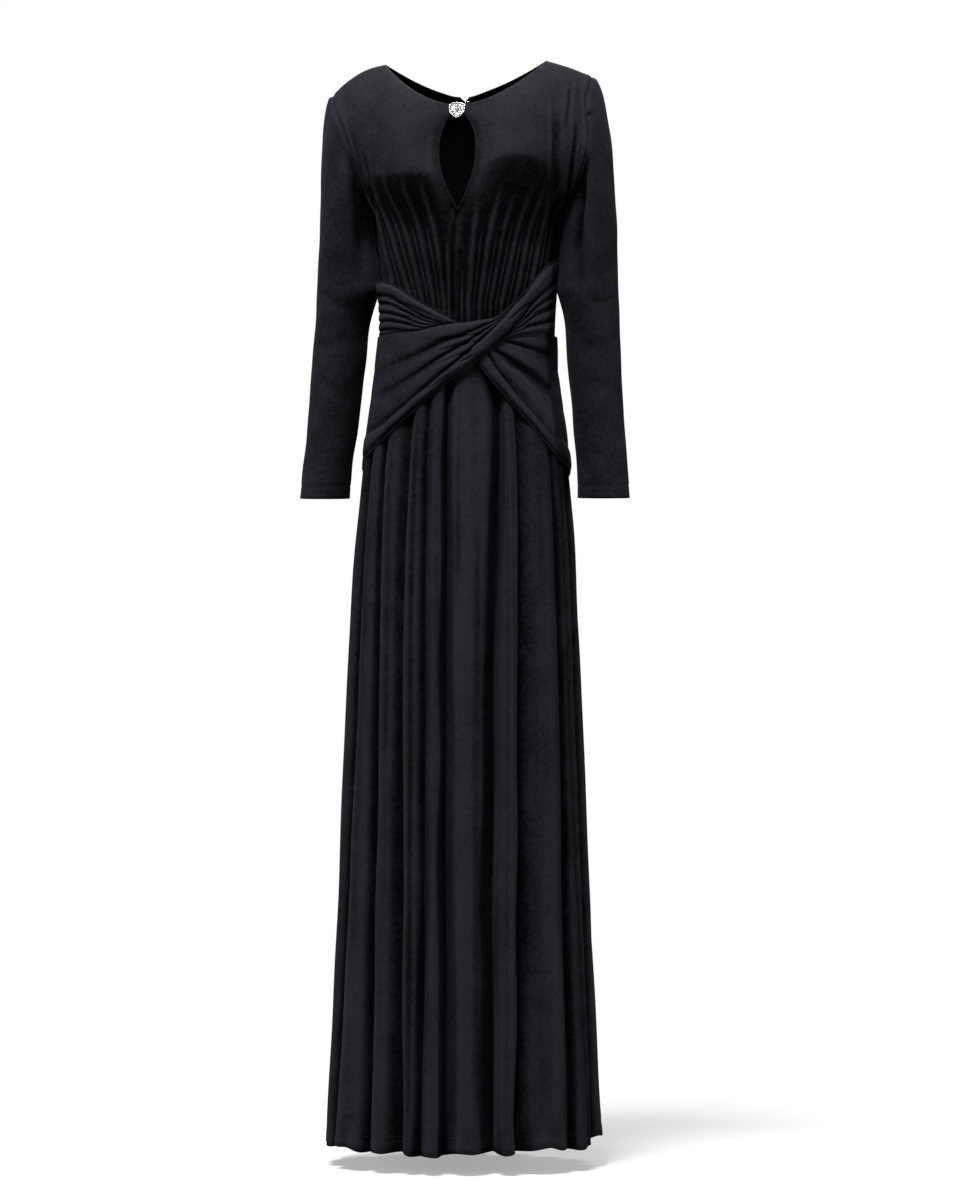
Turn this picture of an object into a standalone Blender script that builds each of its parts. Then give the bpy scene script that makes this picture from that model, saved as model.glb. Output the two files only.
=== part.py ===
"""Long-sleeved velvet maxi dress with a twisted waist, modelled hollow, as it hangs when it is worn.

Metres, +Z up. The origin is midway between the shoulders, where the dress is held. The front faces -Y,
so the wearer's left side is at +X and the wearer's right side is at -X.

Angles on the figure are in degrees from the front centre, positive towards the wearer's left.
"""
import bpy
import numpy as np

# Driving dimensions
WALL = 0.0016
SEAM_GAP = 0.0003
BUST_Z = -0.215
WAIST_Z = -0.388
HEM_Z = -1.532
CUFF_Z = -0.6165

NECK_HALF_WIDTH = 0.1165
NECK_SHIFT = -0.003
FRONT_NECK_Z = -0.0645
FRONT_NECK_Y = -0.066
BACK_NECK_Z = -0.0415
BACK_NECK_Y = 0.060
SHOULDER_Y = 0.010
SHOULDER_ROUND = {"right": 0.0055, "left": 0.0015}
FRONT_NECK_CURVE = 1.9
BACK_NECK_CURVE = 1.6
FRONT_NECK_SHARE = 0.60
BACK_NECK_SHARE = 0.60

BUST_BULGE = 0.008
BUST_SPREAD = 0.078

BROOCH_WIDTH = 0.0225
BROOCH_HEIGHT = 0.0250
BROOCH_DEPTH = 0.0050
BROOCH_STAND = 0.0029
BROOCH_CENTRE = (-0.0050, -0.0735)

NOTCH_WIDTH = 0.0110
NOTCH_DEPTH = 0.0200

VELVET = (0.012, 0.011, 0.017, 1.0)
SILVER = (0.80, 0.80, 0.82, 1.0)


def table(columns, rows):
    """Rows of numbers with named columns."""
    return np.array(rows, dtype=[(name, float) for name in columns.split()])


# Level sections of the figure under the cloth: half width, depth to the front and to the back,
# and the place of its middle across.
FORM = table("z side front back shift", [
    (-0.195, 0.1420, 0.104, 0.086, 0.0000),
    (-0.264, 0.1325, 0.097, 0.080, 0.0000),
    (-0.321, 0.1262, 0.089, 0.076, 0.0018),
    (-0.371, 0.1235, 0.084, 0.076, 0.0018),
    (-0.435, 0.1275, 0.088, 0.088, -0.0006),
    (-0.520, 0.1405, 0.098, 0.105, -0.0010),
    (-0.648, 0.1527, 0.110, 0.117, -0.0022),
    (-0.790, 0.1618, 0.121, 0.125, -0.0037),
    (-0.932, 0.1680, 0.130, 0.132, -0.0042),
    (-1.074, 0.1738, 0.137, 0.139, -0.0042),
    (-1.216, 0.1794, 0.144, 0.146, -0.0038),
    (-1.358, 0.1866, 0.152, 0.153, -0.0034),
    (-1.560, 0.1955, 0.163, 0.163, -0.0042),
])

# Where the front meets the back at each side.
SIDE_SEAM = table("z right left", [
    (-0.215, -88.0, 88.0),
    (-0.300, -82.0, 80.0),
    (-0.388, -79.0, 74.0),
    (-0.457, -78.0, 68.5),
    (-0.570, -78.0, 69.0),
    (-0.800, -78.0, 68.0),
    (-1.560, -80.0, 71.0),
])

# Centre front line, and half the width of the teardrop keyhole cut along it.
CENTRE_FRONT = table("z x y", [
    (-0.0645, -0.0050, -0.0660),
    (-0.1000, -0.0025, -0.0810),
    (-0.1400, -0.0020, -0.0925),
    (-0.1800, -0.0015, -0.1010),
    (-0.2150, -0.0012, -0.1029),
    (-0.2420, -0.0060, -0.0996),
    (-0.2850, -0.0095, -0.0942),
    (-0.3880, -0.0110, -0.0842),
])
KEYHOLE = table("z half", [
    (-0.0760, 0.0000),
    (-0.0800, 0.0095),
    (-0.0880, 0.0160),
    (-0.1020, 0.0220),
    (-0.1310, 0.0260),
    (-0.1580, 0.0232),
    (-0.1860, 0.0142),
    (-0.2150, 0.0000),
])
CENTRE_BACK = table("z x y", [
    (-0.0415, -0.0085, 0.0600),
    (-0.0800, -0.0070, 0.0745),
    (-0.1400, -0.0050, 0.0860),
    (-0.2150, -0.0030, 0.0846),
])

# Armholes: the right and left seams at equal steps from the shoulder tip to the underarm.
ARMHOLE = table("right_x right_z left_x left_z front_y back_y", [
    (-0.1950, -0.0440, 0.1755, -0.0190, 0.0100, 0.0100),
    (-0.1835, -0.0665, 0.1722, -0.0560, -0.0290, 0.0410),
    (-0.1700, -0.0980, 0.1775, -0.0950, -0.0470, 0.0560),
    (-0.1575, -0.1330, 0.1765, -0.1330, -0.0560, 0.0630),
    (-0.1460, -0.1720, 0.1620, -0.1740, -0.0500, 0.0560),
    (-0.1405, -0.1980, 0.1490, -0.2010, -0.0330, 0.0370),
    (-0.1398, -0.2150, 0.1398, -0.2150, -0.0036, -0.0036),
])
ARMHOLE_CORE = (0.105, 0.004, -0.125)

# Sleeve rings: outer and inner side of each arm, and the middle and half depth of both.
SLEEVE = table("z right_out right_in left_in left_out middle half", [
    (-0.2640, -0.2118, -0.1337, 0.1337, 0.2145, 0.000, 0.0530),
    (-0.3070, -0.2140, -0.1276, 0.1306, 0.2155, -0.001, 0.0500),
    (-0.3220, -0.2145, -0.1260, 0.1295, 0.2160, -0.002, 0.0490),
    (-0.3360, -0.2150, -0.1300, 0.1322, 0.2165, -0.0025, 0.0480),
    (-0.3490, -0.2155, -0.1342, 0.1358, 0.2172, -0.003, 0.0470),
    (-0.4345, -0.2217, -0.1452, 0.1452, 0.2208, -0.008, 0.0430),
    (-0.5200, -0.2270, -0.1550, 0.1538, 0.2262, -0.014, 0.0390),
    (-0.5750, -0.2325, -0.1622, 0.1588, 0.2312, -0.019, 0.0370),
    (-0.6165, -0.2355, -0.1652, 0.1606, 0.2338, -0.023, 0.0365),
])

# Gathers of the bodice: the angle of each raised fold at three heights, its width and its height.
GATHER_Z = (-0.185, -0.255, -0.345)
GATHERS = table("top_z high middle low width height", [
    (-0.170, -67.8, -59.9, -51.5, 0.0048, 0.0042),
    (-0.158, -56.3, -47.5, -36.0, 0.0042, 0.0038),
    (-0.160, -43.3, -34.4, -26.8, 0.0040, 0.0034),
    (-0.162, -30.1, -24.1, -18.6, 0.0042, 0.0040),
    (-0.176, -20.1, -14.6, -11.5, 0.0040, 0.0034),
    (-0.206, 12.2, 9.0, 4.6, 0.0045, 0.0036),
    (-0.186, 24.1, 18.8, 12.0, 0.0045, 0.0042),
    (-0.196, 32.6, 27.2, 19.2, 0.0038, 0.0034),
    (-0.180, 41.6, 36.2, 26.9, 0.0042, 0.0040),
    (-0.174, 50.1, 45.3, 36.5, 0.0040, 0.0036),
    (-0.166, 59.6, 56.1, 47.0, 0.0042, 0.0038),
    (-0.176, 70.5, 67.9, 60.8, 0.0042, 0.0034),
])

# Valleys between the skirt's folds: angles at three heights, width and depth near the waist and at the hem.
VALLEY_Z = (-0.570, -0.790, -1.480)
FRONT_VALLEYS = table("high middle low top_width hem_width top_depth hem_depth", [
    (-65.5, -62.8, -67.0, 0.0060, 0.0100, 0.0040, 0.0110),
    (-49.2, -44.7, -40.0, 0.0060, 0.0105, 0.0060, 0.0170),
    (-30.7, -29.0, -23.2, 0.0080, 0.0120, 0.0050, 0.0090),
    (-18.1, -15.0, -12.8, 0.0045, 0.0080, 0.0060, 0.0160),
    (-5.7, -3.9, -1.4, 0.0046, 0.0110, 0.0110, 0.0320),
    (23.9, 19.8, 16.6, 0.0070, 0.0090, 0.0130, 0.0300),
    (37.5, 36.7, 31.5, 0.0060, 0.0115, 0.0045, 0.0150),
    (61.2, 62.4, 58.3, 0.0050, 0.0090, 0.0040, 0.0140),
])
BACK_VALLEYS = table("high middle low top_width hem_width top_depth hem_depth", [
    (81.0, 81.0, 79.0, 0.0060, 0.0100, 0.0050, 0.0130),
    (98.0, 96.0, 97.0, 0.0055, 0.0095, 0.0060, 0.0160),
    (117.0, 116.0, 113.0, 0.0065, 0.0120, 0.0060, 0.0190),
    (134.0, 132.0, 134.0, 0.0050, 0.0090, 0.0070, 0.0150),
    (151.0, 152.0, 149.0, 0.0060, 0.0110, 0.0080, 0.0220),
    (169.0, 168.0, 171.0, 0.0055, 0.0100, 0.0090, 0.0260),
    (188.0, 190.0, 187.0, 0.0060, 0.0110, 0.0090, 0.0240),
    (205.0, 206.0, 208.0, 0.0050, 0.0095, 0.0070, 0.0170),
    (224.0, 223.0, 226.0, 0.0065, 0.0120, 0.0070, 0.0200),
    (243.0, 245.0, 243.0, 0.0055, 0.0100, 0.0060, 0.0170),
    (262.0, 262.0, 263.0, 0.0060, 0.0100, 0.0050, 0.0140),
])

# How far the hem is lifted over its level, by angle.
HEM_LIFT = table("angle lift", [
    (-84, 0.0010),
    (-45, 0.0010),
    (-15, -0.0005),
    (12, -0.0005),
    (32, 0.0030),
    (62, 0.0040),
    (76, 0.0070),
    (93, 0.0130),
    (118, 0.0080),
    (160, 0.0020),
    (284, 0.0010),
])

# Edges of the waist wraps by angle: the free edges and the folded band that crosses each wrap.
OVER_WRAP = table("angle low band_low band_up high", [
    (-84, -0.5710, -0.5680, -0.5290, -0.3890),
    (-50, -0.5345, -0.5315, -0.5110, -0.3850),
    (-28, -0.4970, -0.4940, -0.4766, -0.3830),
    (-10, -0.4622, -0.4593, -0.4427, -0.3750),
    (5, -0.4365, -0.4335, -0.4140, -0.3715),
    (13, -0.4210, -0.4180, -0.3958, -0.3685),
    (21, -0.4070, -0.4040, -0.3785, -0.3655),
    (27, -0.3985, -0.3930, -0.3656, -0.3570),
    (33, -0.3905, -0.3800, -0.3520, -0.3460),
    (42, -0.3870, -0.3610, -0.3345, -0.3300),
    (50, -0.3860, -0.3420, -0.3157, -0.3120),
    (62, -0.3845, -0.3240, -0.2940, -0.2905),
    (76, -0.3835, -0.3120, -0.2820, -0.2785),
])
UNDER_WRAP = table("angle low band_low band_up high", [
    (-84, -0.3970, -0.3290, -0.3110, -0.3090),
    (-50, -0.3930, -0.3355, -0.3185, -0.3160),
    (-27, -0.3910, -0.3610, -0.3440, -0.3420),
    (-13, -0.3880, -0.3740, -0.3600, -0.3575),
    (-3, -0.3990, -0.3860, -0.3720, -0.3696),
    (8, -0.4195, -0.4080, -0.3900, -0.3780),
    (14, -0.4355, -0.4325, -0.4115, -0.3810),
    (18, -0.4465, -0.4435, -0.4168, -0.3820),
    (25, -0.4655, -0.4625, -0.4395, -0.3830),
    (38, -0.4985, -0.4955, -0.4748, -0.3830),
    (52, -0.5310, -0.5280, -0.5075, -0.3820),
    (76, -0.5750, -0.5720, -0.5500, -0.3800),
])
BACK_WRAP = table("angle low band_low band_up high", [
    (66, -0.5620, -0.5590, -0.5300, -0.3890),
    (95, -0.5800, -0.5770, -0.5460, -0.3890),
    (140, -0.5980, -0.5950, -0.5660, -0.3890),
    (180, -0.6040, -0.6010, -0.5720, -0.3890),
    (225, -0.5960, -0.5930, -0.5630, -0.3890),
    (284, -0.5700, -0.5670, -0.5300, -0.3890),
])

# Height of each wrap's inner face over the figure, at its low and its high edge, and of its folds.
OVER_HEIGHTS = table("angle lift_low lift_high band upper_fan lower_fan", [
    (-84, 0.0009, 0.0038, 0.0020, 0.0004, 0.0000),
    (-66, 0.0009, 0.0038, 0.0042, 0.0012, 0.0000),
    (-30, 0.0009, 0.0040, 0.0050, 0.0026, 0.0000),
    (-12, 0.0012, 0.0055, 0.0050, 0.0034, 0.0000),
    (0, 0.0055, 0.0055, 0.0050, 0.0036, 0.0000),
    (20, 0.0055, 0.0055, 0.0054, 0.0026, 0.0000),
    (33, 0.0055, 0.0045, 0.0054, 0.0000, 0.0018),
    (45, 0.0036, 0.0009, 0.0048, 0.0000, 0.0030),
    (62, 0.0034, 0.0009, 0.0040, 0.0000, 0.0030),
    (76, 0.0034, 0.0009, 0.0016, 0.0000, 0.0008),
])
UNDER_HEIGHTS = table("angle lift_low lift_high band upper_fan lower_fan", [
    (-84, 0.0012, 0.0012, 0.0014, 0.0000, 0.0010),
    (-66, 0.0012, 0.0012, 0.0040, 0.0000, 0.0030),
    (-24, 0.0012, 0.0012, 0.0040, 0.0000, 0.0028),
    (-8, 0.0012, 0.0012, 0.0022, 0.0000, 0.0014),
    (8, 0.0009, 0.0009, 0.0018, 0.0008, 0.0000),
    (15, 0.0009, 0.0009, 0.0022, 0.0012, 0.0000),
    (24, 0.0009, 0.0009, 0.0042, 0.0018, 0.0000),
    (38, 0.0009, 0.0009, 0.0046, 0.0036, 0.0000),
    (60, 0.0009, 0.0009, 0.0040, 0.0030, 0.0000),
    (76, 0.0009, 0.0009, 0.0014, 0.0006, 0.0000),
])
BACK_HEIGHTS = table("angle lift_low lift_high band upper_fan lower_fan", [
    (66, 0.0012, 0.0012, 0.0012, 0.0004, 0.0000),
    (84, 0.0012, 0.0012, 0.0034, 0.0016, 0.0000),
    (180, 0.0012, 0.0012, 0.0036, 0.0022, 0.0000),
    (266, 0.0012, 0.0012, 0.0034, 0.0016, 0.0000),
    (284, 0.0012, 0.0012, 0.0012, 0.0004, 0.0000),
])

# Creases between the pleats of each fan, as shares of its height.
OVER_CREASES = {"upper": (0.36, 0.65), "lower": (0.25, 0.53, 0.76)}
UNDER_CREASES = {"upper": (0.45, 0.78), "lower": (0.24, 0.44, 0.62, 0.83)}
BACK_CREASES = {"upper": (0.34, 0.70), "lower": ()}


def smooth(at, knots, values):
    """Value at a place on the smooth curve through the knots, level past both ends."""
    knots = np.asarray(knots, float)
    values = np.asarray(values, float)
    order = np.argsort(knots)
    knots = knots[order]
    values = values[order]
    slopes = np.gradient(values, knots)
    at = np.clip(at, knots[0], knots[-1])
    i = np.clip(np.searchsorted(knots, at) - 1, 0, len(knots) - 2)
    span = knots[i + 1] - knots[i]
    t = (at - knots[i]) / span
    start = values[i] * (2 * t ** 3 - 3 * t ** 2 + 1) + slopes[i] * span * (t ** 3 - 2 * t ** 2 + t)
    end = values[i + 1] * (3 * t ** 2 - 2 * t ** 3) + slopes[i + 1] * span * (t ** 3 - t ** 2)
    return start + end


def look_up(rows, column, at, key="z"):
    """A named column of a table at a height, or at an angle."""
    return smooth(at, rows[key], rows[column])


def step(value, start, end):
    """Smooth change from 0 to 1 between two values."""
    t = np.clip((value - start) / (end - start), 0, 1)
    return t * t * (3 - 2 * t)


def unit(vectors):
    """Vectors at length one."""
    return vectors / np.maximum(np.linalg.norm(vectors, axis=-1, keepdims=True), 1e-9)


def points(x, y, z):
    """Arrays of coordinates joined into points."""
    return np.stack(np.broadcast_arrays(x, y, z), axis=-1)


def body(angle, z, out=0.0):
    """Point of the figure at an angle and a height, moved level outward."""
    a = np.radians(angle)
    side = look_up(FORM, "side", z)
    depth = np.where(np.cos(a) > 0, look_up(FORM, "front", z), look_up(FORM, "back", z))
    normal = unit(points(np.sin(a) / side, -np.cos(a) / depth, 0.0 * a))
    middle = look_up(FORM, "shift", z)
    return points(middle + side * np.sin(a), -depth * np.cos(a), z) + normal * np.asarray(out)[..., None]


def body_normal(angle, z):
    """Level outward direction of the figure."""
    return unit(body(angle, z, 0.01) - body(angle, z, 0.0))


def arc_from(angle, centre, z):
    """Distance along the figure's section from one angle to another."""
    a = np.radians((angle + centre) / 2)
    side = look_up(FORM, "side", z)
    depth = np.where(np.cos(a) > 0, look_up(FORM, "front", z), look_up(FORM, "back", z))
    reach = np.hypot(side * np.cos(a), depth * np.sin(a))
    return reach * np.radians(angle - centre)


def seam_angle(side, z):
    """Angle of the side seam; side is "right" or "left"."""
    return look_up(SIDE_SEAM, side, z)


def wrap_top(angle):
    """Upper visible edge of the wraps on the front."""
    over = look_up(OVER_WRAP, "high", angle, "angle")
    under = look_up(UNDER_WRAP, "high", angle, "angle")
    return np.maximum(over, under)


def wrap_bottom(angle):
    """Lower visible edge of the wraps, on the front or the back."""
    over = look_up(OVER_WRAP, "low", angle, "angle")
    under = look_up(UNDER_WRAP, "low", angle, "angle")
    back = look_up(BACK_WRAP, "low", angle, "angle")
    turned = np.where(angle < 0, angle + 360, angle)
    behind = (turned > 72) & (turned < 281)
    return np.where(behind, back, np.minimum(over, under))


def gather_out(angle, z):
    """Move of the bodice front, inward between its gathers; their crowns stay on the figure."""
    crown = np.zeros_like(angle * z)
    for fold in GATHERS:
        centre = smooth(z, GATHER_Z, (fold["high"], fold["middle"], fold["low"]))
        away = arc_from(angle, centre, z)
        strength = step(z, fold["top_z"] + 0.012, fold["top_z"] - 0.060)
        crown = np.maximum(crown, fold["height"] * strength * np.exp(-(away / fold["width"]) ** 2))
    sunk = 0.0040 * step(z, -0.165, -0.260) * step(np.abs(angle), 84.0, 76.0)
    hidden = step(z, wrap_top(angle) - 0.022, wrap_top(angle) - 0.002)
    return np.minimum(crown - sunk, 0.0) * hidden


def bust_out(x, z):
    """Fullness of the bodice over the bust."""
    across = np.exp(-((np.abs(x) - BUST_SPREAD) / 0.040) ** 2)
    down = np.exp(-((z + 0.188) / 0.052) ** 2)
    return BUST_BULGE * across * down


def skirt_point(angle, z, valleys):
    """Point of the skirt: the figure's section with its folds pressed in."""
    drop = np.clip((WAIST_Z - z) / (WAIST_Z - HEM_Z), 0, 1)
    pressed = np.zeros_like(angle * z)
    for fold in valleys:
        centre = smooth(z, VALLEY_Z, (fold["high"], fold["middle"], fold["low"]))
        width = fold["top_width"] + (fold["hem_width"] - fold["top_width"]) * drop
        depth = fold["top_depth"] + (fold["hem_depth"] - fold["top_depth"]) * drop ** 0.9
        away = np.abs(arc_from(angle, centre, z)) / width
        pressed += depth * (0.70 * np.exp(-away ** 1.8) + 0.30 * np.exp(-(away / 2.3) ** 2))
    shown = step(z, wrap_bottom(angle) + 0.030, wrap_bottom(angle) - 0.006)
    turned = np.where(angle > 180, angle - 360, angle)
    beside = np.minimum(np.abs(turned - seam_angle("left", z)), np.abs(turned - seam_angle("right", z)))
    shown = shown * (0.15 + 0.85 * step(beside, 0.0, 5.0))
    return body(angle, z, -pressed * shown)


def armhole(side, rows=7):
    """Front and back halves of one armhole, from the shoulder tip to the underarm."""
    at = np.linspace(0, 1, rows)
    knots = np.linspace(0, 1, len(ARMHOLE))
    x = smooth(at, knots, ARMHOLE[side + "_x"])
    z = smooth(at, knots, ARMHOLE[side + "_z"])
    front = points(x, smooth(at, knots, ARMHOLE["front_y"]) - SEAM_GAP / 2, z)
    back = points(x, smooth(at, knots, ARMHOLE["back_y"]) + SEAM_GAP / 2, z)
    return front, back


def armhole_outward(side, at):
    """Shared direction of both walls at the armhole seam."""
    core = np.array(ARMHOLE_CORE)
    if side == "right":
        core = core * (-1, 1, 1)
    return unit(at - core)


def neck_edge(share, side, front):
    """Neckline from the centre (share 0) to the top of the shoulder seam (share 1)."""
    sign = -1 if side == "right" else 1
    deep_z = FRONT_NECK_Z if front else BACK_NECK_Z
    deep_y = FRONT_NECK_Y if front else BACK_NECK_Y
    centre = CENTRE_FRONT["x"][0] if front else CENTRE_BACK["x"][0]
    x = centre + (sign * NECK_HALF_WIDTH + NECK_SHIFT - centre) * share
    curve = FRONT_NECK_CURVE if front else BACK_NECK_CURVE
    z = deep_z + (0.002 - deep_z) * share ** curve
    y = deep_y + (SHOULDER_Y - deep_y) * share ** 2.2
    return points(x, y, z)


def top_edge(shares, side, front, neck_share):
    """Neckline, then the slightly rounded shoulder seam out to the shoulder tip."""
    tip = armhole(side)[0 if front else 1][0]
    high = neck_edge(1.0, side, front)
    high[1] = tip[1]
    on_neck = neck_edge(np.clip(shares / neck_share, 0, 1), side, front)
    along = np.clip((shares - neck_share) / (1 - neck_share), 0, 1)[:, None]
    on_seam = high + (tip - high) * along
    on_seam[:, 2] += SHOULDER_ROUND[side] * (4 * along * (1 - along))[:, 0]
    return np.where((shares < neck_share)[:, None], on_neck, on_seam)


def patch(top, bottom, centre, outer, across, down):
    """Surface between four edges that meet at the corners."""
    u = across[:, None, None]
    v = down[None, :, None]
    ruled = (1 - v) * top[:, None] + v * bottom[:, None] + (1 - u) * centre[None] + u * outer[None]
    corners = (1 - u) * (1 - v) * top[0] + u * (1 - v) * top[-1]
    corners = corners + (1 - u) * v * bottom[0] + u * v * bottom[-1]
    return ruled - corners


def grid_normals(grid, closed=False):
    """Outward directions of a grid whose first index runs with the angle and second runs down."""
    if closed:
        along = np.roll(grid, -1, axis=0) - np.roll(grid, 1, axis=0)
    else:
        along = np.gradient(grid, axis=0)
    down = np.gradient(grid, axis=1)
    return unit(np.cross(down, along))


def walled(name, outer, outward, material, closed=False):
    """Closed wall of cloth under a grid of outer points, as one named object.

    Both faces are split along the same diagonals, so the wall keeps its thickness.
    """
    inner = outer - outward * WALL
    columns, rows = outer.shape[:2]
    vertices = np.concatenate((outer.reshape(-1, 3), inner.reshape(-1, 3)))
    under = columns * rows

    def at(i, j):
        return (i % columns) * rows + j

    faces = []
    spans = columns if closed else columns - 1
    for i in range(spans):
        for j in range(rows - 1):
            quad = (at(i, j), at(i, j + 1), at(i + 1, j + 1), at(i + 1, j))
            for cell in (quad[:3], (quad[0], quad[2], quad[3])):
                faces.append(cell)
                faces.append(tuple(under + k for k in reversed(cell)))
        for j, flip in ((0, False), (rows - 1, True)):
            rim = (at(i, j), at(i + 1, j), under + at(i + 1, j), under + at(i, j))
            faces.append(rim[::-1] if flip else rim)
    if not closed:
        for j in range(rows - 1):
            for i, flip in ((0, True), (columns - 1, False)):
                rim = (at(i, j), at(i, j + 1), under + at(i, j + 1), under + at(i, j))
                faces.append(rim[::-1] if flip else rim)
    return add_mesh(name, vertices, faces, material)


def add_mesh(name, vertices, faces, material):
    """New object with its own material, shaded smooth but for sharp rims."""
    mesh = bpy.data.meshes.new(name)
    mesh.from_pydata([tuple(map(float, v)) for v in vertices], [], faces)
    mesh.update()
    mesh.shade_smooth()
    mesh.set_sharp_from_angle(angle=np.radians(50))
    part = bpy.data.objects.new(name, mesh)
    part.data.materials.append(material)
    part.parent = bpy.data.objects["dress"]
    bpy.context.scene.collection.objects.link(part)
    return part


def velvet(name):
    """Black stretch velvet."""
    return surface(name + "_velvet", VELVET, 0.85, 0.0)


def surface(name, colour, roughness, metallic):
    """Principled material with one colour."""
    material = bpy.data.materials.new(name)
    material.use_nodes = True
    shader = material.node_tree.nodes["Principled BSDF"]
    shader.inputs["Base Color"].default_value = colour
    shader.inputs["Roughness"].default_value = roughness
    shader.inputs["Metallic"].default_value = metallic
    return material


def fold_columns(centres, per_fold, start, end):
    """Angles of grid columns: a few between each two folds, at each height."""
    lines = [start] + list(centres) + [end]
    columns = []
    for a, b in zip(lines[:-1], lines[1:]):
        columns += [a + (b - a) * k / per_fold for k in range(per_fold)]
    columns.append(end)
    return np.array(columns)


def bodice_front(side, per_fold=4):
    """One half of the bodice front, from neckline and shoulder seam to the waist seam."""
    sign = -1 if side == "right" else 1
    low_z = np.array([-0.236, -0.258, -0.282, -0.305, -0.328, -0.355, WAIST_Z + SEAM_GAP / 2])
    high_z = np.array([-0.0645, -0.0770, -0.0880, -0.1200, -0.1550, -0.1880, BUST_Z])

    def columns(z):
        mine = [fold for fold in GATHERS if np.sign(fold["low"]) == sign]
        mine.sort(key=lambda fold: abs(fold["low"]))
        from_middle = centre_edge(z)[0] - look_up(FORM, "shift", z)
        edge = np.degrees(np.arcsin(from_middle / look_up(FORM, "side", z)))
        centres = [smooth(z, GATHER_Z, (f["high"], f["middle"], f["low"])) for f in mine]
        return fold_columns(centres, per_fold, edge, seam_angle(side, z) - sign * 0.08)

    def centre_edge(z):
        half = max(float(look_up(KEYHOLE, "half", z)), SEAM_GAP / 2)
        if not KEYHOLE["z"][-1] < z < KEYHOLE["z"][0]:
            half = SEAM_GAP / 2
        return look_up(CENTRE_FRONT, "x", z) + sign * half, look_up(CENTRE_FRONT, "y", z), z

    low_angles = np.array([columns(z) for z in low_z]).T
    lower = body(low_angles, low_z[None, :] + 0 * low_angles, gather_out(low_angles, low_z[None, :]))
    line_angles = columns(BUST_Z)
    bottom = body(line_angles, np.full(len(line_angles), BUST_Z))
    centre = np.array([centre_edge(z) for z in high_z])
    outer = armhole(side)[0]
    across = np.clip((line_angles - line_angles[0]) / (line_angles[-1] - line_angles[0]), 0, 1)
    down = np.linspace(0, 1, len(high_z))
    top = top_edge(across, side, True, FRONT_NECK_SHARE)
    top[0] = centre[0]
    bottom[0] = centre[-1]
    bottom[-1] = outer[-1]
    upper = patch(top, bottom, centre, outer, across, down)
    round_over = np.sin(np.pi * across)[:, None] * (down * (1 - down) ** 2 * 6.75)[None, :]
    upper = upper + round_over[..., None] * np.array((0.0, -0.0110, 0.0040))
    upper = upper + gathered(upper) * (across < 0.99)[:, None, None]
    grid = np.concatenate((upper, lower), axis=1)
    grid[:, 1:, 1] -= bust_out(grid[:, 1:, 0], grid[:, 1:, 2]) * edge_fade(across)[:, None]
    if side == "right":
        grid = grid[::-1]
    outward = grid_normals(grid)
    ends = (0, -1) if side == "left" else (-1, 0)
    outward[ends[0]] = unit(outward[ends[0]] * (0, 1, 1))
    arm = len(high_z)
    outward[ends[1], :arm] = armhole_outward(side, grid[ends[1], :arm])
    outward[ends[1], arm:] = body_normal(seam_angle(side, low_z), low_z)
    on_seam = (across >= FRONT_NECK_SHARE) & (across < 1)
    on_seam = on_seam[::-1] if side == "right" else on_seam
    outward[on_seam, 0] = unit(outward[on_seam, 0] * (1, 0, 1))
    return walled("bodice_front_" + side, grid, outward, velvet("bodice_front_" + side))


def gathered(at):
    """Moves of points above the bust line that carry the gathers up until they fade."""
    z = np.minimum(at[..., 2], FORM["z"][0])
    side = look_up(FORM, "side", z)
    front = look_up(FORM, "front", z)
    across = at[..., 0] - look_up(FORM, "shift", z)
    angle = np.degrees(np.arctan2(across / side, -at[..., 1] / front))
    return body_normal(angle, z) * gather_out(angle, at[..., 2])[..., None]


def edge_fade(across):
    """Bust fullness fades to nothing at the armhole and the side seam."""
    return step(across, 1.0, 0.75)


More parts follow.
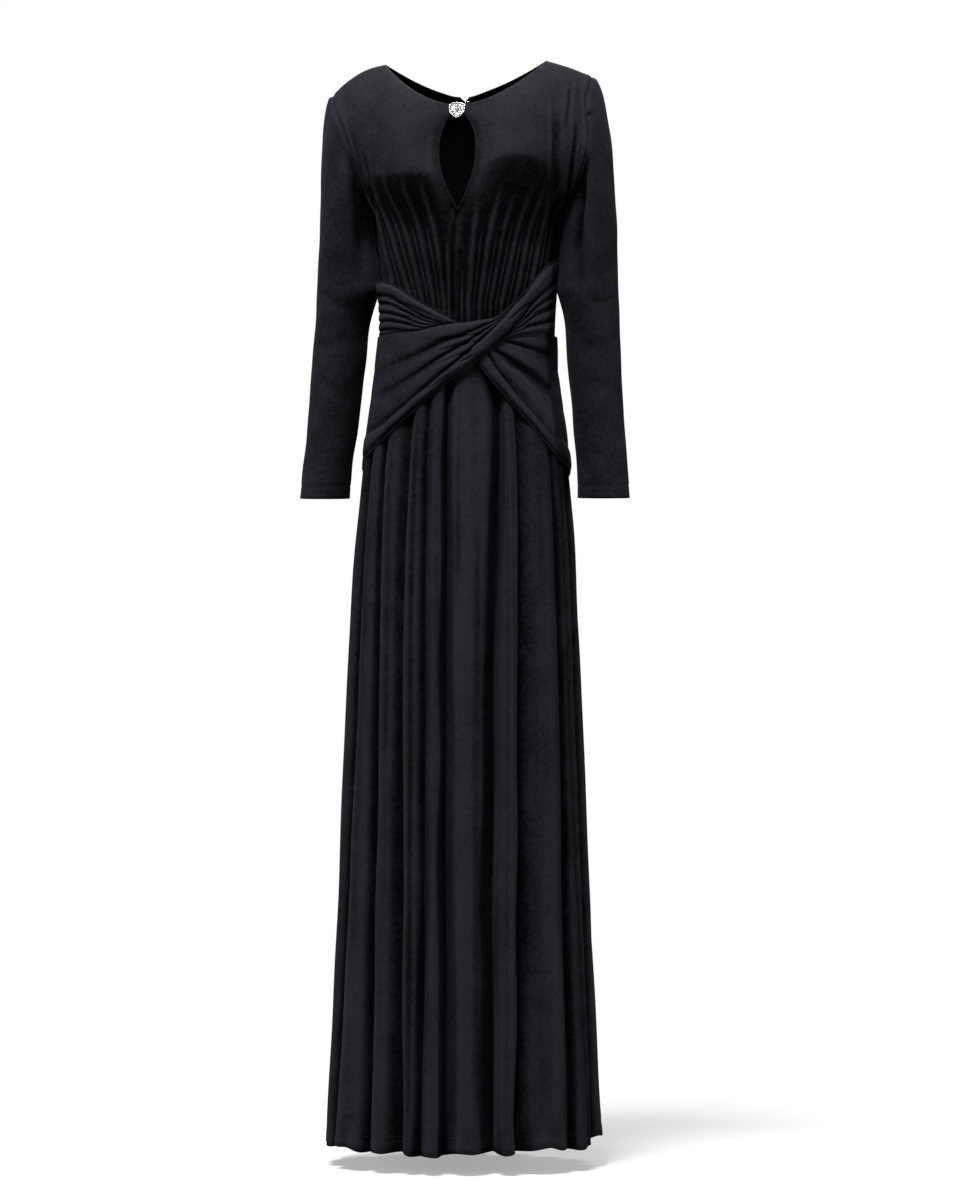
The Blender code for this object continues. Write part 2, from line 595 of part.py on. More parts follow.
def bodice_back(side):
    """One half of the bodice back, from neckline and shoulder seam to the waist seam."""
    sign = -1 if side == "right" else 1
    low_z = np.array([-0.236, -0.258, -0.282, -0.305, -0.328, -0.355, WAIST_Z + SEAM_GAP / 2])
    high_z = np.array([-0.0415, -0.0520, -0.0640, -0.0950, -0.1350, -0.1750, BUST_Z])
    across = np.array((0.0, 0.06, 0.20, 0.34, 0.48, 0.60, 0.73, 0.87, 1.0))

    def columns(z):
        seam = seam_angle(side, z) + sign * 0.08
        from_middle = centre_edge(z)[0] - look_up(FORM, "shift", z)
        middle = sign * 180.0 + np.degrees(-from_middle / look_up(FORM, "side", z))
        return middle + (seam - middle) * across

    def centre_edge(z):
        open_share = np.clip(1 - (high_z[0] - z) / NOTCH_DEPTH, 0, 1)
        half = max(NOTCH_WIDTH / 2 * open_share ** 0.6, SEAM_GAP / 2)
        return look_up(CENTRE_BACK, "x", z) + sign * half, look_up(CENTRE_BACK, "y", z), z

    low_angles = np.array([columns(z) for z in low_z]).T
    lower = body(low_angles, low_z[None, :] + 0 * low_angles)
    bottom = body(columns(BUST_Z), np.full(len(across), BUST_Z))
    centre = np.array([centre_edge(z) for z in high_z])
    outer = armhole(side)[1]
    top = top_edge(across, side, False, BACK_NECK_SHARE)
    top[0] = centre[0]
    bottom[0] = centre[-1]
    bottom[-1] = outer[-1]
    down = np.linspace(0, 1, len(high_z))
    upper = patch(top, bottom, centre, outer, across, down)
    round_over = np.sin(np.pi * across)[:, None] * (down * (1 - down) ** 2 * 6.75)[None, :]
    upper = upper + round_over[..., None] * np.array((0.0, 0.0120, 0.0040))
    grid = np.concatenate((upper, lower), axis=1)
    if side == "left":
        grid = grid[::-1]
    outward = grid_normals(grid)
    ends = (0, -1) if side == "right" else (-1, 0)
    outward[ends[0]] = unit(outward[ends[0]] * (0, 1, 1))
    arm = len(high_z)
    outward[ends[1], :arm] = armhole_outward(side, grid[ends[1], :arm])
    outward[ends[1], arm:] = body_normal(seam_angle(side, low_z), low_z)
    on_seam = (across >= BACK_NECK_SHARE) & (across < 1)
    on_seam = on_seam[::-1] if side == "left" else on_seam
    outward[on_seam, 0] = unit(outward[on_seam, 0] * (1, 0, 1))
    return walled("bodice_back_" + side, grid, outward, velvet("bodice_back_" + side))


def sleeve_ring(side, z, turns):
    """Level ring of a sleeve; turn 0 is on the outer side and a quarter turn is at the front."""
    outer = look_up(SLEEVE, side + "_out", z)
    inner = look_up(SLEEVE, side + "_in", z)
    x = (outer + inner) / 2 + (outer - inner) / 2 * np.cos(turns)
    y = look_up(SLEEVE, "middle", z) - look_up(SLEEVE, "half", z) * np.sin(turns)
    return points(x, y, z + 0 * turns)


def sleeve(side):
    """Set-in sleeve from the armhole to the open cuff."""
    sign = -1 if side == "right" else 1
    front, back = armhole(side)
    loop = np.concatenate((front, back[-2:0:-1]))
    outward = armhole_outward(side, loop)
    along = np.roll(loop, -1, axis=0) - np.roll(loop, 1, axis=0)
    away = unit(np.cross(along, outward)) * -sign
    start = loop + away * SEAM_GAP
    count = len(front) - 1
    turns = np.concatenate((np.linspace(0, np.pi, count + 1), np.linspace(np.pi, 2 * np.pi, count + 1)[1:-1]))
    first_z = -0.270
    first = sleeve_ring(side, first_z, turns)
    onward = sleeve_ring(side, first_z - 0.03, turns) - first
    under = (1 - np.cos(turns)) / 2
    leave = points(sign * (0.075 - 0.073 * under ** 0.6), 0 * under, -0.045 - 0.010 * under)
    arrive = onward / 0.03 * (0.24 - 0.17 * under)[:, None]
    rows = [start]
    for t in (0.07, 0.17, 0.32, 0.50, 0.75):
        blend = start * (2 * t ** 3 - 3 * t ** 2 + 1) + leave * (t ** 3 - 2 * t ** 2 + t)
        blend = blend + first * (3 * t ** 2 - 2 * t ** 3) + arrive * (t ** 3 - t ** 2)
        rows.append(blend)
    rows.append(first)
    for z in (-0.298, -0.322, -0.336, -0.352, -0.400, -0.455, -0.510, -0.560, CUFF_Z):
        rows.append(sleeve_ring(side, z, turns))
    grid = np.stack(rows, axis=1)
    normals = -grid_normals(grid, closed=True)
    if side == "right":
        normals = -normals
    normals[:, 0] = outward
    if side == "left":
        grid = grid[::-1]
        normals = normals[::-1]
    return walled("sleeve_" + side, grid, normals, velvet("sleeve_" + side), closed=True)


def hem_wave(angle):
    """Slight rise and fall of the hem."""
    waves = 0.0022 * np.sin(np.radians(angle * 11)) + 0.0012 * np.sin(np.radians(angle * 4.3))
    return waves + look_up(HEM_LIFT, "lift", angle, "angle")


def skirt(name, valleys, start_side, end_side, heights, per_fold):
    """Front or back of the skirt, from under the wraps at the waist seam to the hem."""
    def columns(z):
        start = seam_angle(start_side, z) + 0.08
        end = seam_angle(end_side, z) - 0.08
        if name == "skirt_back":
            end += 360
        centres = [smooth(z, VALLEY_Z, (f["high"], f["middle"], f["low"])) for f in valleys]
        return fold_columns(centres, per_fold, start, end)

    angles = np.array([columns(z) for z in heights]).T
    z = heights[None, :] + 0 * angles
    z[:, -1] += hem_wave(angles[:, -1])
    grid = skirt_point(angles, z, valleys)
    outward = grid_normals(grid)
    outward[:, 0] = body_normal(angles[:, 0], z[:, 0])
    for i in (0, -1):
        outward[i] = body_normal(angles[i], z[i])
    return walled(name, grid, outward, velvet(name))


def lobes(share, creases):
    """Rounded pleats side by side: 0 in each crease and 1 on each crown."""
    edges = np.concatenate(([0.0], creases, [1.0]))
    i = np.clip(np.searchsorted(edges, share, side="right") - 1, 0, len(edges) - 2)
    t = (share - edges[i]) / (edges[i + 1] - edges[i])
    return 1 - np.abs(2 * t - 1) ** 2.4


def wrap_point(angle, row, edges, heights, creases):
    """Point of a wrap: row 0 to 1 is the fan under its band, 1 to 2 the band, 2 to 3 the fan over it."""
    lines = [look_up(edges, name, angle, "angle") for name in ("low", "band_low", "band_up", "high")]
    z = lines[0] + (lines[1] - lines[0]) * np.clip(row, 0, 1)
    z = z + (lines[2] - lines[1]) * np.clip(row - 1, 0, 1)
    z = z + (lines[3] - lines[2]) * np.clip(row - 2, 0, 1)
    level = (z - lines[0]) / (lines[3] - lines[0])
    lift_low = look_up(heights, "lift_low", angle, "angle")
    lift_high = look_up(heights, "lift_high", angle, "angle")
    lift = lift_low + (lift_high - lift_low) * level
    band = look_up(heights, "band", angle, "angle")
    round_band = band * (1 - np.abs(2 * np.clip(row - 1, 0, 1) - 1) ** 3.5)
    below = look_up(heights, "lower_fan", angle, "angle") * lobes(np.clip(row, 0, 1), creases["lower"])
    above = look_up(heights, "upper_fan", angle, "angle") * lobes(np.clip(row - 2, 0, 1), creases["upper"])
    raised = np.where(row < 1, below, np.where(row > 2, above, round_band))
    if edges is UNDER_WRAP:
        over_high = look_up(OVER_WRAP, "high", angle, "angle")
        over_low = look_up(OVER_WRAP, "low", angle, "angle")
        above_it = step(z, over_high + 0.0005, over_high + 0.005)
        below_it = step(z, over_low - 0.001, over_low - 0.007)
        free = np.maximum(above_it, below_it)
        raised = raised * (0.2 + 0.8 * free)
    return body(angle, z, lift + WALL + raised)


def fan_rows(creases, band_rows=4):
    """Rows of a wrap's grid: along each crease and each crown, and across the band."""
    rows = []
    for base, marks in ((0, creases["lower"]), (2, creases["upper"])):
        edges = (0.0,) + tuple(marks) + (1.0,)
        fan = [0.0]
        for a, b in zip(edges[:-1], edges[1:]):
            fan += [(a + b) / 2, b] if marks else [b]
        rows.append([base + value for value in fan])
    band = [1 + k / band_rows for k in range(1, band_rows)]
    return np.array(rows[0] + band + rows[1])


def wrap(name, edges, heights, creases, angles):
    """Folded and pleated wrap of the waist, sewn in at both side seams."""
    rows = fan_rows(creases)[::-1]
    angle, row = np.meshgrid(angles, rows, indexing="ij")
    grid = wrap_point(angle, row, edges, heights, creases)
    first = end_angles(grid[0, :, 2], name, 0)
    last = end_angles(grid[-1, :, 2], name, -1)
    grid[0] = wrap_point(first, rows, edges, heights, creases)
    grid[-1] = wrap_point(last, rows, edges, heights, creases)
    outward = grid_normals(grid)
    outward[0] = body_normal(first, grid[0, :, 2])
    outward[-1] = body_normal(last, grid[-1, :, 2])
    return walled(name, grid, outward, velvet(name))


def end_angles(z, name, end):
    """Angles at which a wrap's end follows the side seam."""
    if name == "wrap_back":
        side = "left" if end == 0 else "right"
        away = 0.10 if end == 0 else 359.90
    else:
        side = "right" if end == 0 else "left"
        away = 0.10 if end == 0 else -0.10
    return seam_angle(side, z) + away


def brooch():
    """Shield-shaped brooch with a faceted front that closes the keyhole at the neckline."""
    upper = ((0.0, 0.50), (0.30, 0.47), (0.50, 0.34), (0.50, 0.05))
    lower = ((0.46, -0.14), (0.24, -0.36), (0.0, -0.50))
    right = [(x * BROOCH_WIDTH, z * BROOCH_HEIGHT) for x, z in upper + lower]
    loop = right + [(-x, z) for x, z in right[-2:0:-1]]
    rings = ((1.00, 0.0), (1.00, 0.45), (0.90, 0.72), (0.62, 0.80), (0.55, 1.0), (0.28, 0.88))
    tilt = np.radians(21)
    back_y = float(look_up(CENTRE_FRONT, "y", BROOCH_CENTRE[1])) - SEAM_GAP - BROOCH_STAND
    vertices = []

    def place(x, z, depth):
        forward = depth * BROOCH_DEPTH
        y = back_y - forward * np.cos(tilt) + z * np.sin(tilt)
        high = BROOCH_CENTRE[1] + z * np.cos(tilt) + forward * np.sin(tilt)
        vertices.append((BROOCH_CENTRE[0] + x, y, high))

    for scale, depth in rings:
        for x, z in loop:
            place(x * scale, z * scale, depth)
    place(0, 0, 0.0)
    place(0, 0, 1.05)
    count = len(loop)
    back = count * len(rings)
    faces = []
    for i in range(count):
        j = (i + 1) % count
        faces.append((back, i, j))
        for r in range(len(rings) - 1):
            faces.append((r * count + j, r * count + i, (r + 1) * count + i, (r + 1) * count + j))
        last = (len(rings) - 1) * count
        faces.append((last + i, back + 1, last + j))
    add_mesh("brooch", vertices, faces, surface("brooch_silver", SILVER, 0.18, 1.0))


def back_neck_hook():
    """Small flat hook and eye across the notch at the back of the neckline."""
    half = NOTCH_WIDTH / 2 * 0.80 - SEAM_GAP
    z = BACK_NECK_Z - 0.0062
    y = float(look_up(CENTRE_BACK, "y", z)) - 0.0009
    x = float(look_up(CENTRE_BACK, "x", z))
    size = ((-half, half), (-0.0006, 0.0006), (-0.0013, 0.0013))
    vertices = [(x + dx, y + dy, z + dz) for dx in size[0] for dy in size[1] for dz in size[2]]
    faces = [(0, 1, 3, 2), (4, 6, 7, 5), (0, 4, 5, 1), (2, 3, 7, 6), (0, 2, 6, 4), (1, 5, 7, 3)]
    hook = add_mesh("back_neck_hook", vertices, faces, surface("hook_steel", SILVER, 0.30, 1.0))
    bevel = hook.modifiers.new("rounded", "BEVEL")
    bevel.width = 0.0003
    bevel.segments = 2


def build():
    """The whole dress."""
    for old in list(bpy.data.objects):
        bpy.data.objects.remove(old, do_unlink=True)
    dress = bpy.data.objects.new("dress", None)
    bpy.context.scene.collection.objects.link(dress)
    for side in ("right", "left"):
        bodice_front(side)
        bodice_back(side)
        sleeve(side)
    top = WAIST_Z - SEAM_GAP / 2
    heights = np.array([top, -0.412, -0.436, -0.468, -0.510, -0.570, -0.680, -0.860, -1.080, -1.310, HEM_Z])
    skirt("skirt_front", FRONT_VALLEYS, "right", "left", heights, 6)
    skirt("skirt_back", BACK_VALLEYS, "left", "right", heights, 4)
    right_angles = [-79, -71, -62, -52, -42, -32, -24, -16, -9, -2]
    left_angles = [4, 10, 15, 20, 25, 31, 38, 46, 55, 63, 69]
    front_angles = np.array(right_angles + left_angles)
    wrap("wrap_over", OVER_WRAP, OVER_HEIGHTS, OVER_CREASES, front_angles)
    wrap("wrap_under", UNDER_WRAP, UNDER_HEIGHTS, UNDER_CREASES, front_angles)
    wrap("wrap_back", BACK_WRAP, BACK_HEIGHTS, BACK_CREASES, np.linspace(69, 281, 22))
    brooch()
    back_neck_hook()


build()
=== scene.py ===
"""Finished look of the long-sleeved velvet maxi dress, worn by a hidden form.

Metres, and millimetres in the tables. +Z is up, the front faces -Y and the wearer's left is at +X.
The origin is midway between the shoulders.
Angles on the figure are in degrees from the front centre, positive towards the wearer's left.
"""
import math

import bpy
import numpy as np
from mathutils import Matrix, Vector


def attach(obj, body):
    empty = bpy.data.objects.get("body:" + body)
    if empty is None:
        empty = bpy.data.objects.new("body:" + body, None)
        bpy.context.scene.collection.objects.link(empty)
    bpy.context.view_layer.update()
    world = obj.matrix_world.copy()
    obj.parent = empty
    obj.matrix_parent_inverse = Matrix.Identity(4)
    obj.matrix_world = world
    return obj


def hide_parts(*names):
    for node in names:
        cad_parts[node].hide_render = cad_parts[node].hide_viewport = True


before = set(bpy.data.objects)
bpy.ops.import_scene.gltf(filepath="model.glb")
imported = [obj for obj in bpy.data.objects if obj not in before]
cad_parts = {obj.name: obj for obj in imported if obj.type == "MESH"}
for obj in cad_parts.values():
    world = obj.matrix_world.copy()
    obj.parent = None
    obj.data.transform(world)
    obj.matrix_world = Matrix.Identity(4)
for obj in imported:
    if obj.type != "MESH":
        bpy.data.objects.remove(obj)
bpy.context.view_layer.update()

# Driving dimensions: the solids', with a few outlines drawn closer to the picture
WALL = 0.0016
SEAM_GAP = 0.0003
BUST_Z = -0.215
WAIST_Z = -0.388
HEM_Z = -1.532
CUFF_Z = -0.6165

NECK_HALF_WIDTH = 0.1165
NECK_SHIFT = -0.003
FRONT_NECK_Z = -0.0645
FRONT_NECK_Y = -0.066
BACK_NECK_Z = -0.0415
BACK_NECK_Y = 0.060
SHOULDER_Y = 0.010
SHOULDER_ROUND = {"right": 0.0075, "left": 0.0015}
NECK_TOP = {"right": 0.0020, "left": 0.0045}
FRONT_NECK_CURVE = 1.9
BACK_NECK_CURVE = {"right": 1.6, "left": 1.3}

# Share of the bodice's upper edge that is neckline; the rest is the shoulder seam
NECK_SHARE = 0.60

# Fullness of the bodice: over the bust, the chest, the shoulder blades and just under the shoulder seam
BUST_BULGE = 0.014
CHEST_FULL = (0.0, -0.0110, 0.0040)
BLADES_FULL = (0.0, 0.0120, 0.0040)
SHOULDER_OUT = 0.0150
SHOULDER_UP = 0.0170
GATHERS_SINK = 0.0048

# Painted light and shade in the velvet's colour, kept in the 'pile' attribute: hollows darker (painted
# shade), crowns and cloth that faces up lighter (painted light), the bodice front darker under the bust
# (painted shade). The share in percent lies level.
# For each kind of piece: how far off the level is taken, and the height at which a crown counts in full.
PAINTED_CROWN_AND_HOLLOW = 0.46
PAINTED_TOP_LIGHT = 0.33
TOP_LIGHT_SLOPE = 0.35
HOLLOW_SHADE_LEVEL_SHARE = 64
PAINTED_SHADE_UNDER_BUST = 0.14
HOLLOW_SHADE_SCALES = {
    "bodice": (0.0045, 0.0009),
    "sleeve": (0.0060, 0.0012),
    "skirt": (0.0110, 0.0022),
    "wrap": (0.0045, 0.0010),
}

BROOCH_WIDTH = 0.0225
BROOCH_HEIGHT = 0.0250
BROOCH_STAND = 0.0029
BROOCH_CENTRE = (-0.0050, -0.0735)
BROOCH_TILT = 21.0

NOTCH_WIDTH = 0.0130
NOTCH_DEPTH = 0.0052
NOTCH_EASE = 0.030
HOOK_WIRE = 0.00076
EYE_WIRE = 0.00070

# Sleeve cap: how it leaves the armhole, outward and down, and how it comes into the first level ring
CAP_SPREAD = {"right": 0.062, "left": 0.080}
CAP_DROP = 0.045
CAP_UNDERARM_DROP = 0.010
CAP_ARRIVE = 0.24
CAP_UNDERARM_ARRIVE = 0.07
CAP_END_Z = -0.270
CAP_RING_STEP = 0.03

# Crowns of the skirt's folds: height at the waist and what the hem adds, and their lean
CROWN_AT_WAIST = 0.0012
CROWN_TO_HEM = 0.0062
CROWN_SKEW = 0.66

CUFF_STITCH = 0.017
HEM_STITCH = 0.020
STITCH_LENGTH = 0.0026
STITCH_PITCH = 0.0038
STITCH_RADIUS = 0.00032

# The view: camera azimuth in degrees, its distance and its height
VIEW_AZIMUTH = 7.0
VIEW_DISTANCE = 7.0
EYE_Z = -0.7611
VIEW_SHIFT = 0.0185
LENS = 147.9

FLOOR_DROP = 0.030
FLOOR_BOUNCE = 0.15
STUDIO_FILL = 0.03


def table(columns, rows):
    """Rows of numbers with named columns: millimetres, or as they are where the name has a star."""
    names = columns.split()
    units = [1 if name.endswith("*") else 1000 for name in names]
    scaled = [tuple(value / unit for value, unit in zip(row, units)) for row in rows]
    return np.array(scaled, dtype=[(name.strip("*"), float) for name in names])


# Level sections of the figure under the cloth: half width, depth to the front and to the back,
# and the place of its middle across.
FORM = table("z side front back shift", [
    (-195, 142, 104, 86, 0),
    (-264, 133, 97, 80, 0.5),
    (-321, 127, 89, 76, 2.4),
    (-371, 124.1, 84, 76, 2.4),
    (-435, 127.5, 88, 88, -0.6),
    (-520, 139.5, 98, 105, -1),
    (-648, 152.7, 110, 117, -2.2),
    (-790, 161.8, 121, 125, -3.7),
    (-932, 168, 130, 132, -4.2),
    (-1074, 173.8, 137, 139, -4.2),
    (-1216, 179.4, 144, 146, -3.8),
    (-1358, 186.6, 152, 153, -3.4),
    (-1560, 195.5, 163, 163, -4.2),
])

# Where the front meets the back at each side.
SIDE_SEAM = table("z right* left*", [
    (-215, -88, 88),
    (-300, -82, 80),
    (-388, -79, 74),
    (-457, -78, 68.5),
    (-570, -78, 69),
    (-800, -78, 68),
    (-1560, -80, 71),
])

# Centre front line, and half the width of the teardrop keyhole cut along it.
CENTRE_FRONT = table("z x y", [
    (-64.5, -5, -66),
    (-100, -2.5, -81),
    (-140, -2, -92.5),
    (-180, -1.5, -101),
    (-215, -1.2, -102.9),
    (-242, -6, -99.6),
    (-285, -9.5, -94.2),
    (-388, -11, -84.2),
])
KEYHOLE = table("z half", [
    (-76, 0),
    (-80, 9.5),
    (-88, 16),
    (-102, 22),
    (-131, 26),
    (-158, 23.2),
    (-186, 14.2),
    (-215, 0),
])
CENTRE_BACK = table("z x y", [
    (-41.5, -11, 60),
    (-80, -7, 74.5),
    (-140, -5, 86),
    (-215, -3, 84.6),
])

# Armholes: the right and left seams at equal steps from the shoulder tip to the underarm.
ARMHOLE = table("right_x right_z left_x left_z front_y back_y", [
    (-195, -41.5, 178.5, -19, 10, 10),
    (-183.5, -66.5, 172.2, -56, -29, 41),
    (-170, -98, 177.5, -95, -47, 56),
    (-157.5, -133, 176.5, -133, -56, 63),
    (-146, -172, 162, -174, -50, 56),
    (-140.5, -198, 149, -201, -33, 37),
    (-139.8, -215, 139.8, -215, -3.6, -3.6),
])
ARMHOLE_CORE = (0.105, 0.004, -0.125)

# Sleeve rings: outer and inner side of each arm, and the middle and half depth of both.
SLEEVE = table("z right_out right_in left_in left_out middle half", [
    (-264, -211.8, -132.2, 132, 214.5, 0, 53),
    (-307, -214, -126.2, 129.6, 215.5, -1, 50),
    (-322, -214.5, -124.8, 129, 216, -2, 49),
    (-336, -215, -129.8, 132.6, 216.5, -2.5, 48),
    (-349, -215.5, -134.2, 135.8, 217.2, -3, 47),
    (-434.5, -221.7, -145.2, 145.2, 220.8, -8, 43),
    (-520, -227, -155, 153.8, 226.2, -14, 39),
    (-575, -232.5, -162.2, 158.8, 231.2, -19, 37),
    (-616.5, -235.5, -165.2, 160.6, 233.8, -23, 36.5),
])

# Gathers of the bodice: the angle of each raised fold at three heights, its width and its height.
GATHER_Z = (-0.185, -0.255, -0.345)
GATHERS = table("top_z high* middle* low* width height", [
    (-170, -67.8, -59.9, -51.5, 6.2, 5.2),
    (-158, -56.3, -47.5, -36, 5.6, 5),
    (-160, -43.3, -34.4, -26.8, 5, 4.4),
    (-162, -30.1, -24.1, -18.6, 5, 4.8),
    (-176, -20.1, -14.6, -11.5, 4.2, 3.8),
    (-206, 12.2, 9, 4.6, 5, 4),
    (-186, 24.1, 18.8, 12, 5.2, 4.6),
    (-196, 32.6, 27.2, 19.2, 4.2, 3.6),
    (-180, 41.6, 36.2, 26.9, 5, 4.4),
    (-174, 50.1, 45.3, 36.5, 5, 4.2),
    (-166, 59.6, 56.1, 47, 5.6, 4.6),
    (-176, 70.5, 67.9, 60.8, 5.6, 4.2),
])
FINE_GATHERS = table("top_z high* middle* low* width height", [
    (-215, -62, -54, -44, 2.6, 2.6),
    (-200, -50, -41, -31.5, 2.4, 3),
    (-225, -36.5, -29, -22.6, 2.4, 2.6),
    (-235, -25, -19, -15, 2.4, 2.8),
    (-262, -12, -8, -8.2, 2.6, 3),
    (-300, 3, 2, 0.6, 2.4, 2.8),
    (-232, 18, 13.6, 8.2, 2.4, 2.8),
    (-238, 28, 23.2, 15.6, 2.4, 3),
    (-222, 37.2, 31.9, 23, 2.2, 2.6),
    (-230, 46, 40.6, 31.6, 2.4, 2.8),
    (-215, 55, 50.8, 41.8, 2.4, 2.6),
    (-220, 65, 62, 54, 2.6, 2.8),
])
BACK_GATHERS = table("top_z high* middle* low* width height", [
    (-262, 112, 114, 116, 4.8, 2.4),
    (-285, 128, 129, 131, 4.2, 2),
    (-248, 146, 147, 147.5, 5, 2.6),
    (-300, 163, 163, 162, 4, 1.8),
    (-290, 199, 199, 200, 4.4, 2),
    (-255, 216, 215, 214.5, 5, 2.6),
    (-280, 233, 232, 230, 4.2, 2),
    (-268, 249, 247, 245, 4.8, 2.4),
])

# Valleys between the skirt's folds: angles at three heights, width and depth near the waist and at the hem.
# A fold leans over its valley: towards the wearer's left where lean is positive.
VALLEY_Z = (-0.570, -0.790, -1.480)
FRONT_VALLEYS = table("high* middle* low* top_width hem_width top_depth hem_depth lean*", [
    (-65.5, -62.8, -67, 5, 9.5, 4.5, 12, -0.5),
    (-49.2, -44.7, -40, 5, 9.5, 6.5, 19, -0.6),
    (-30.7, -29, -23.2, 7, 11, 7.5, 15, 0.3),
    (-18.1, -15, -12.8, 4, 8, 6.5, 17, -0.3),
    (-5.7, -3.9, -1.4, 5, 10.5, 15, 36, -0.5),
    (23.4, 19.6, 16.6, 8.6, 10.5, 19, 36, 0.5),
    (37.5, 36.7, 31.5, 5.5, 12, 7, 20, -0.9),
    (61.2, 62.4, 58.3, 4.5, 8, 4.5, 15, 0.5),
])
BACK_VALLEYS = table("high* middle* low* top_width hem_width top_depth hem_depth lean*", [
    (81, 81, 79, 5.5, 10, 5, 14, 0.4),
    (98, 96, 97, 5, 9.5, 6, 17, -0.4),
    (117, 116, 113, 6, 11, 6.5, 20, 0.5),
    (134, 132, 134, 4.6, 8.5, 7, 16, -0.3),
    (151, 152, 149, 5.5, 10.5, 8.5, 23, 0.6),
    (169, 168, 171, 5, 9.5, 9.5, 27, -0.5),
    (188, 190, 187, 5.5, 10.5, 9.5, 25, 0.4),
    (205, 206, 208, 4.6, 9, 7, 18, -0.6),
    (224, 223, 226, 6, 11.5, 7.5, 21, 0.5),
    (243, 245, 243, 5, 9.5, 6, 18, -0.4),
    (262, 262, 263, 5.5, 9.5, 5, 15, 0.4),
])

# Soft troughs on the skirt's folds, over part of its length. A negative depth is a soft ridge.
FRONT_SOFT = table("high* middle* low* width depth from_z to_z", [
    (-58.3, -54.9, -53.5, 8, 1.6, -600, -1300),
    (-41.9, -37.6, -32.5, 6, 2.6, -520, -1050),
    (-37, -33.3, -29, 5.5, -1.6, -660, -1560),
    (-24.8, -22.2, -18.2, 5, 4, -500, -1560),
    (-12.3, -10, -7.5, 4.2, -2, -460, -1400),
    (0.9, 1.5, 2.2, 3.6, 3.8, -440, -820),
    (6.6, 6.7, 6.2, 6, -2.2, -460, -1560),
    (12.5, 12, 10.8, 4.5, 3, -600, -1560),
    (29.6, 29.2, 25.4, 3, -4.4, -500, -1560),
    (44.6, 43.1, 39.3, 7, 1.8, -700, -1560),
    (52.1, 52.2, 48, 8, -2, -560, -1560),
])
BACK_SOFT = table("high* middle* low* width depth from_z to_z", [
    (90, 89, 88, 6, 1.6, -660, -1560),
    (107, 106, 105, 6, -2, -620, -1300),
    (125, 124, 123, 5, 2.2, -660, -1560),
    (142, 142, 141, 6, 2, -800, -1560),
    (160, 160, 160, 5, -2.4, -640, -1560),
    (178, 179, 179, 5, 2.6, -640, -1100),
    (196, 198, 197, 6, -2, -700, -1560),
    (214, 215, 217, 5.5, 2.2, -640, -1400),
    (233, 234, 235, 6, 1.8, -780, -1560),
    (253, 253, 253, 5.5, -2, -660, -1560),
])

# How far the hem is lifted over its level, by angle.
HEM_LIFT = table("angle* lift", [
    (-84, 1),
    (-45, 1),
    (-15, -0.5),
    (12, -0.5),
    (32, 3),
    (50, 6),
    (62, 4.5),
    (70, 2),
    (84, 15),
    (93, 18),
    (118, 9),
    (160, 2),
    (284, 1),
])

# Edges of the waist wraps by angle: the free edges and the folded band that crosses each wrap.
OVER_WRAP = table("angle* low band_low band_up high", [
    (-84, -571, -568, -529, -389),
    (-50, -534.5, -531.5, -511, -385),
    (-28, -497, -494, -476.6, -383),
    (-10, -462.2, -459.3, -442.7, -375),
    (5, -436.5, -433.5, -414, -371.5),
    (13, -421, -418, -395.8, -368.5),
    (21, -407, -404, -378.5, -365.5),
    (27, -398.5, -393, -365.6, -357),
    (33, -390.5, -380, -352, -346),
    (42, -387, -361, -334.5, -330),
    (50, -386, -342, -315.7, -312),
    (62, -384.5, -324, -294, -290.5),
    (76, -383.5, -312, -282, -278.5),
])
UNDER_WRAP = table("angle* low band_low band_up high", [
    (-84, -397, -329, -311, -309),
    (-50, -393, -335.5, -318.5, -316),
    (-27, -391, -361, -344, -342),
    (-13, -388, -374, -360, -357.5),
    (-3, -399, -386, -372, -369.6),
    (8, -419.5, -408, -390, -378),
    (14, -435.5, -432.5, -411.5, -381),
    (18, -446.5, -443.5, -416.8, -382),
    (25, -465.5, -462.5, -439.5, -383),
    (38, -498.5, -495.5, -474.8, -383),
    (52, -531, -528, -507.5, -382),
    (76, -575, -572, -550, -380),
])
BACK_WRAP = table("angle* low band_low band_up high", [
    (66, -562, -559, -530, -389),
    (95, -580, -577, -546, -389),
    (140, -598, -595, -566, -389),
    (180, -604, -601, -572, -389),
    (225, -596, -593, -563, -389),
    (284, -570, -567, -530, -389),
])

# Height of each wrap's inner face over the figure, at its low and its high edge, and of its folds.
OVER_HEIGHTS = table("angle* lift_low lift_high band upper_fan lower_fan", [
    (-84, 0.9, 3.8, 2, 0.6, 0),
    (-66, 0.9, 3.8, 4.2, 0.8, 0),
    (-30, 0.9, 4, 5.2, 2, 0),
    (-12, 1.2, 5.5, 5.4, 3.4, 0),
    (0, 5.5, 5.5, 5.4, 4.6, 0),
    (20, 5.5, 5.5, 5.8, 3.2, 0),
    (33, 5.5, 4.5, 5.8, 0, 2.4),
    (45, 3.6, 0.9, 5.2, 0, 3.8),
    (62, 3.4, 0.9, 4.2, 0, 3.6),
    (76, 3.4, 0.9, 1.6, 0, 1),
])
UNDER_HEIGHTS = table("angle* lift_low lift_high band upper_fan lower_fan", [
    (-84, 1.2, 1.2, 1.4, 0, 1.2),
    (-66, 1.2, 1.2, 4.2, 0, 3.8),
    (-24, 1.2, 1.2, 4.2, 0, 3.4),
    (-8, 1.2, 1.2, 2.2, 0, 1.4),
    (8, 0.9, 0.9, 1.8, 0.8, 0),
    (15, 0.9, 0.9, 2.2, 1.2, 0),
    (24, 0.9, 0.9, 4.4, 2.2, 0),
    (38, 0.9, 0.9, 4.8, 4.4, 0),
    (60, 0.9, 0.9, 3, 2.6, 0),
    (76, 0.9, 0.9, 1.4, 0.8, 0),
])
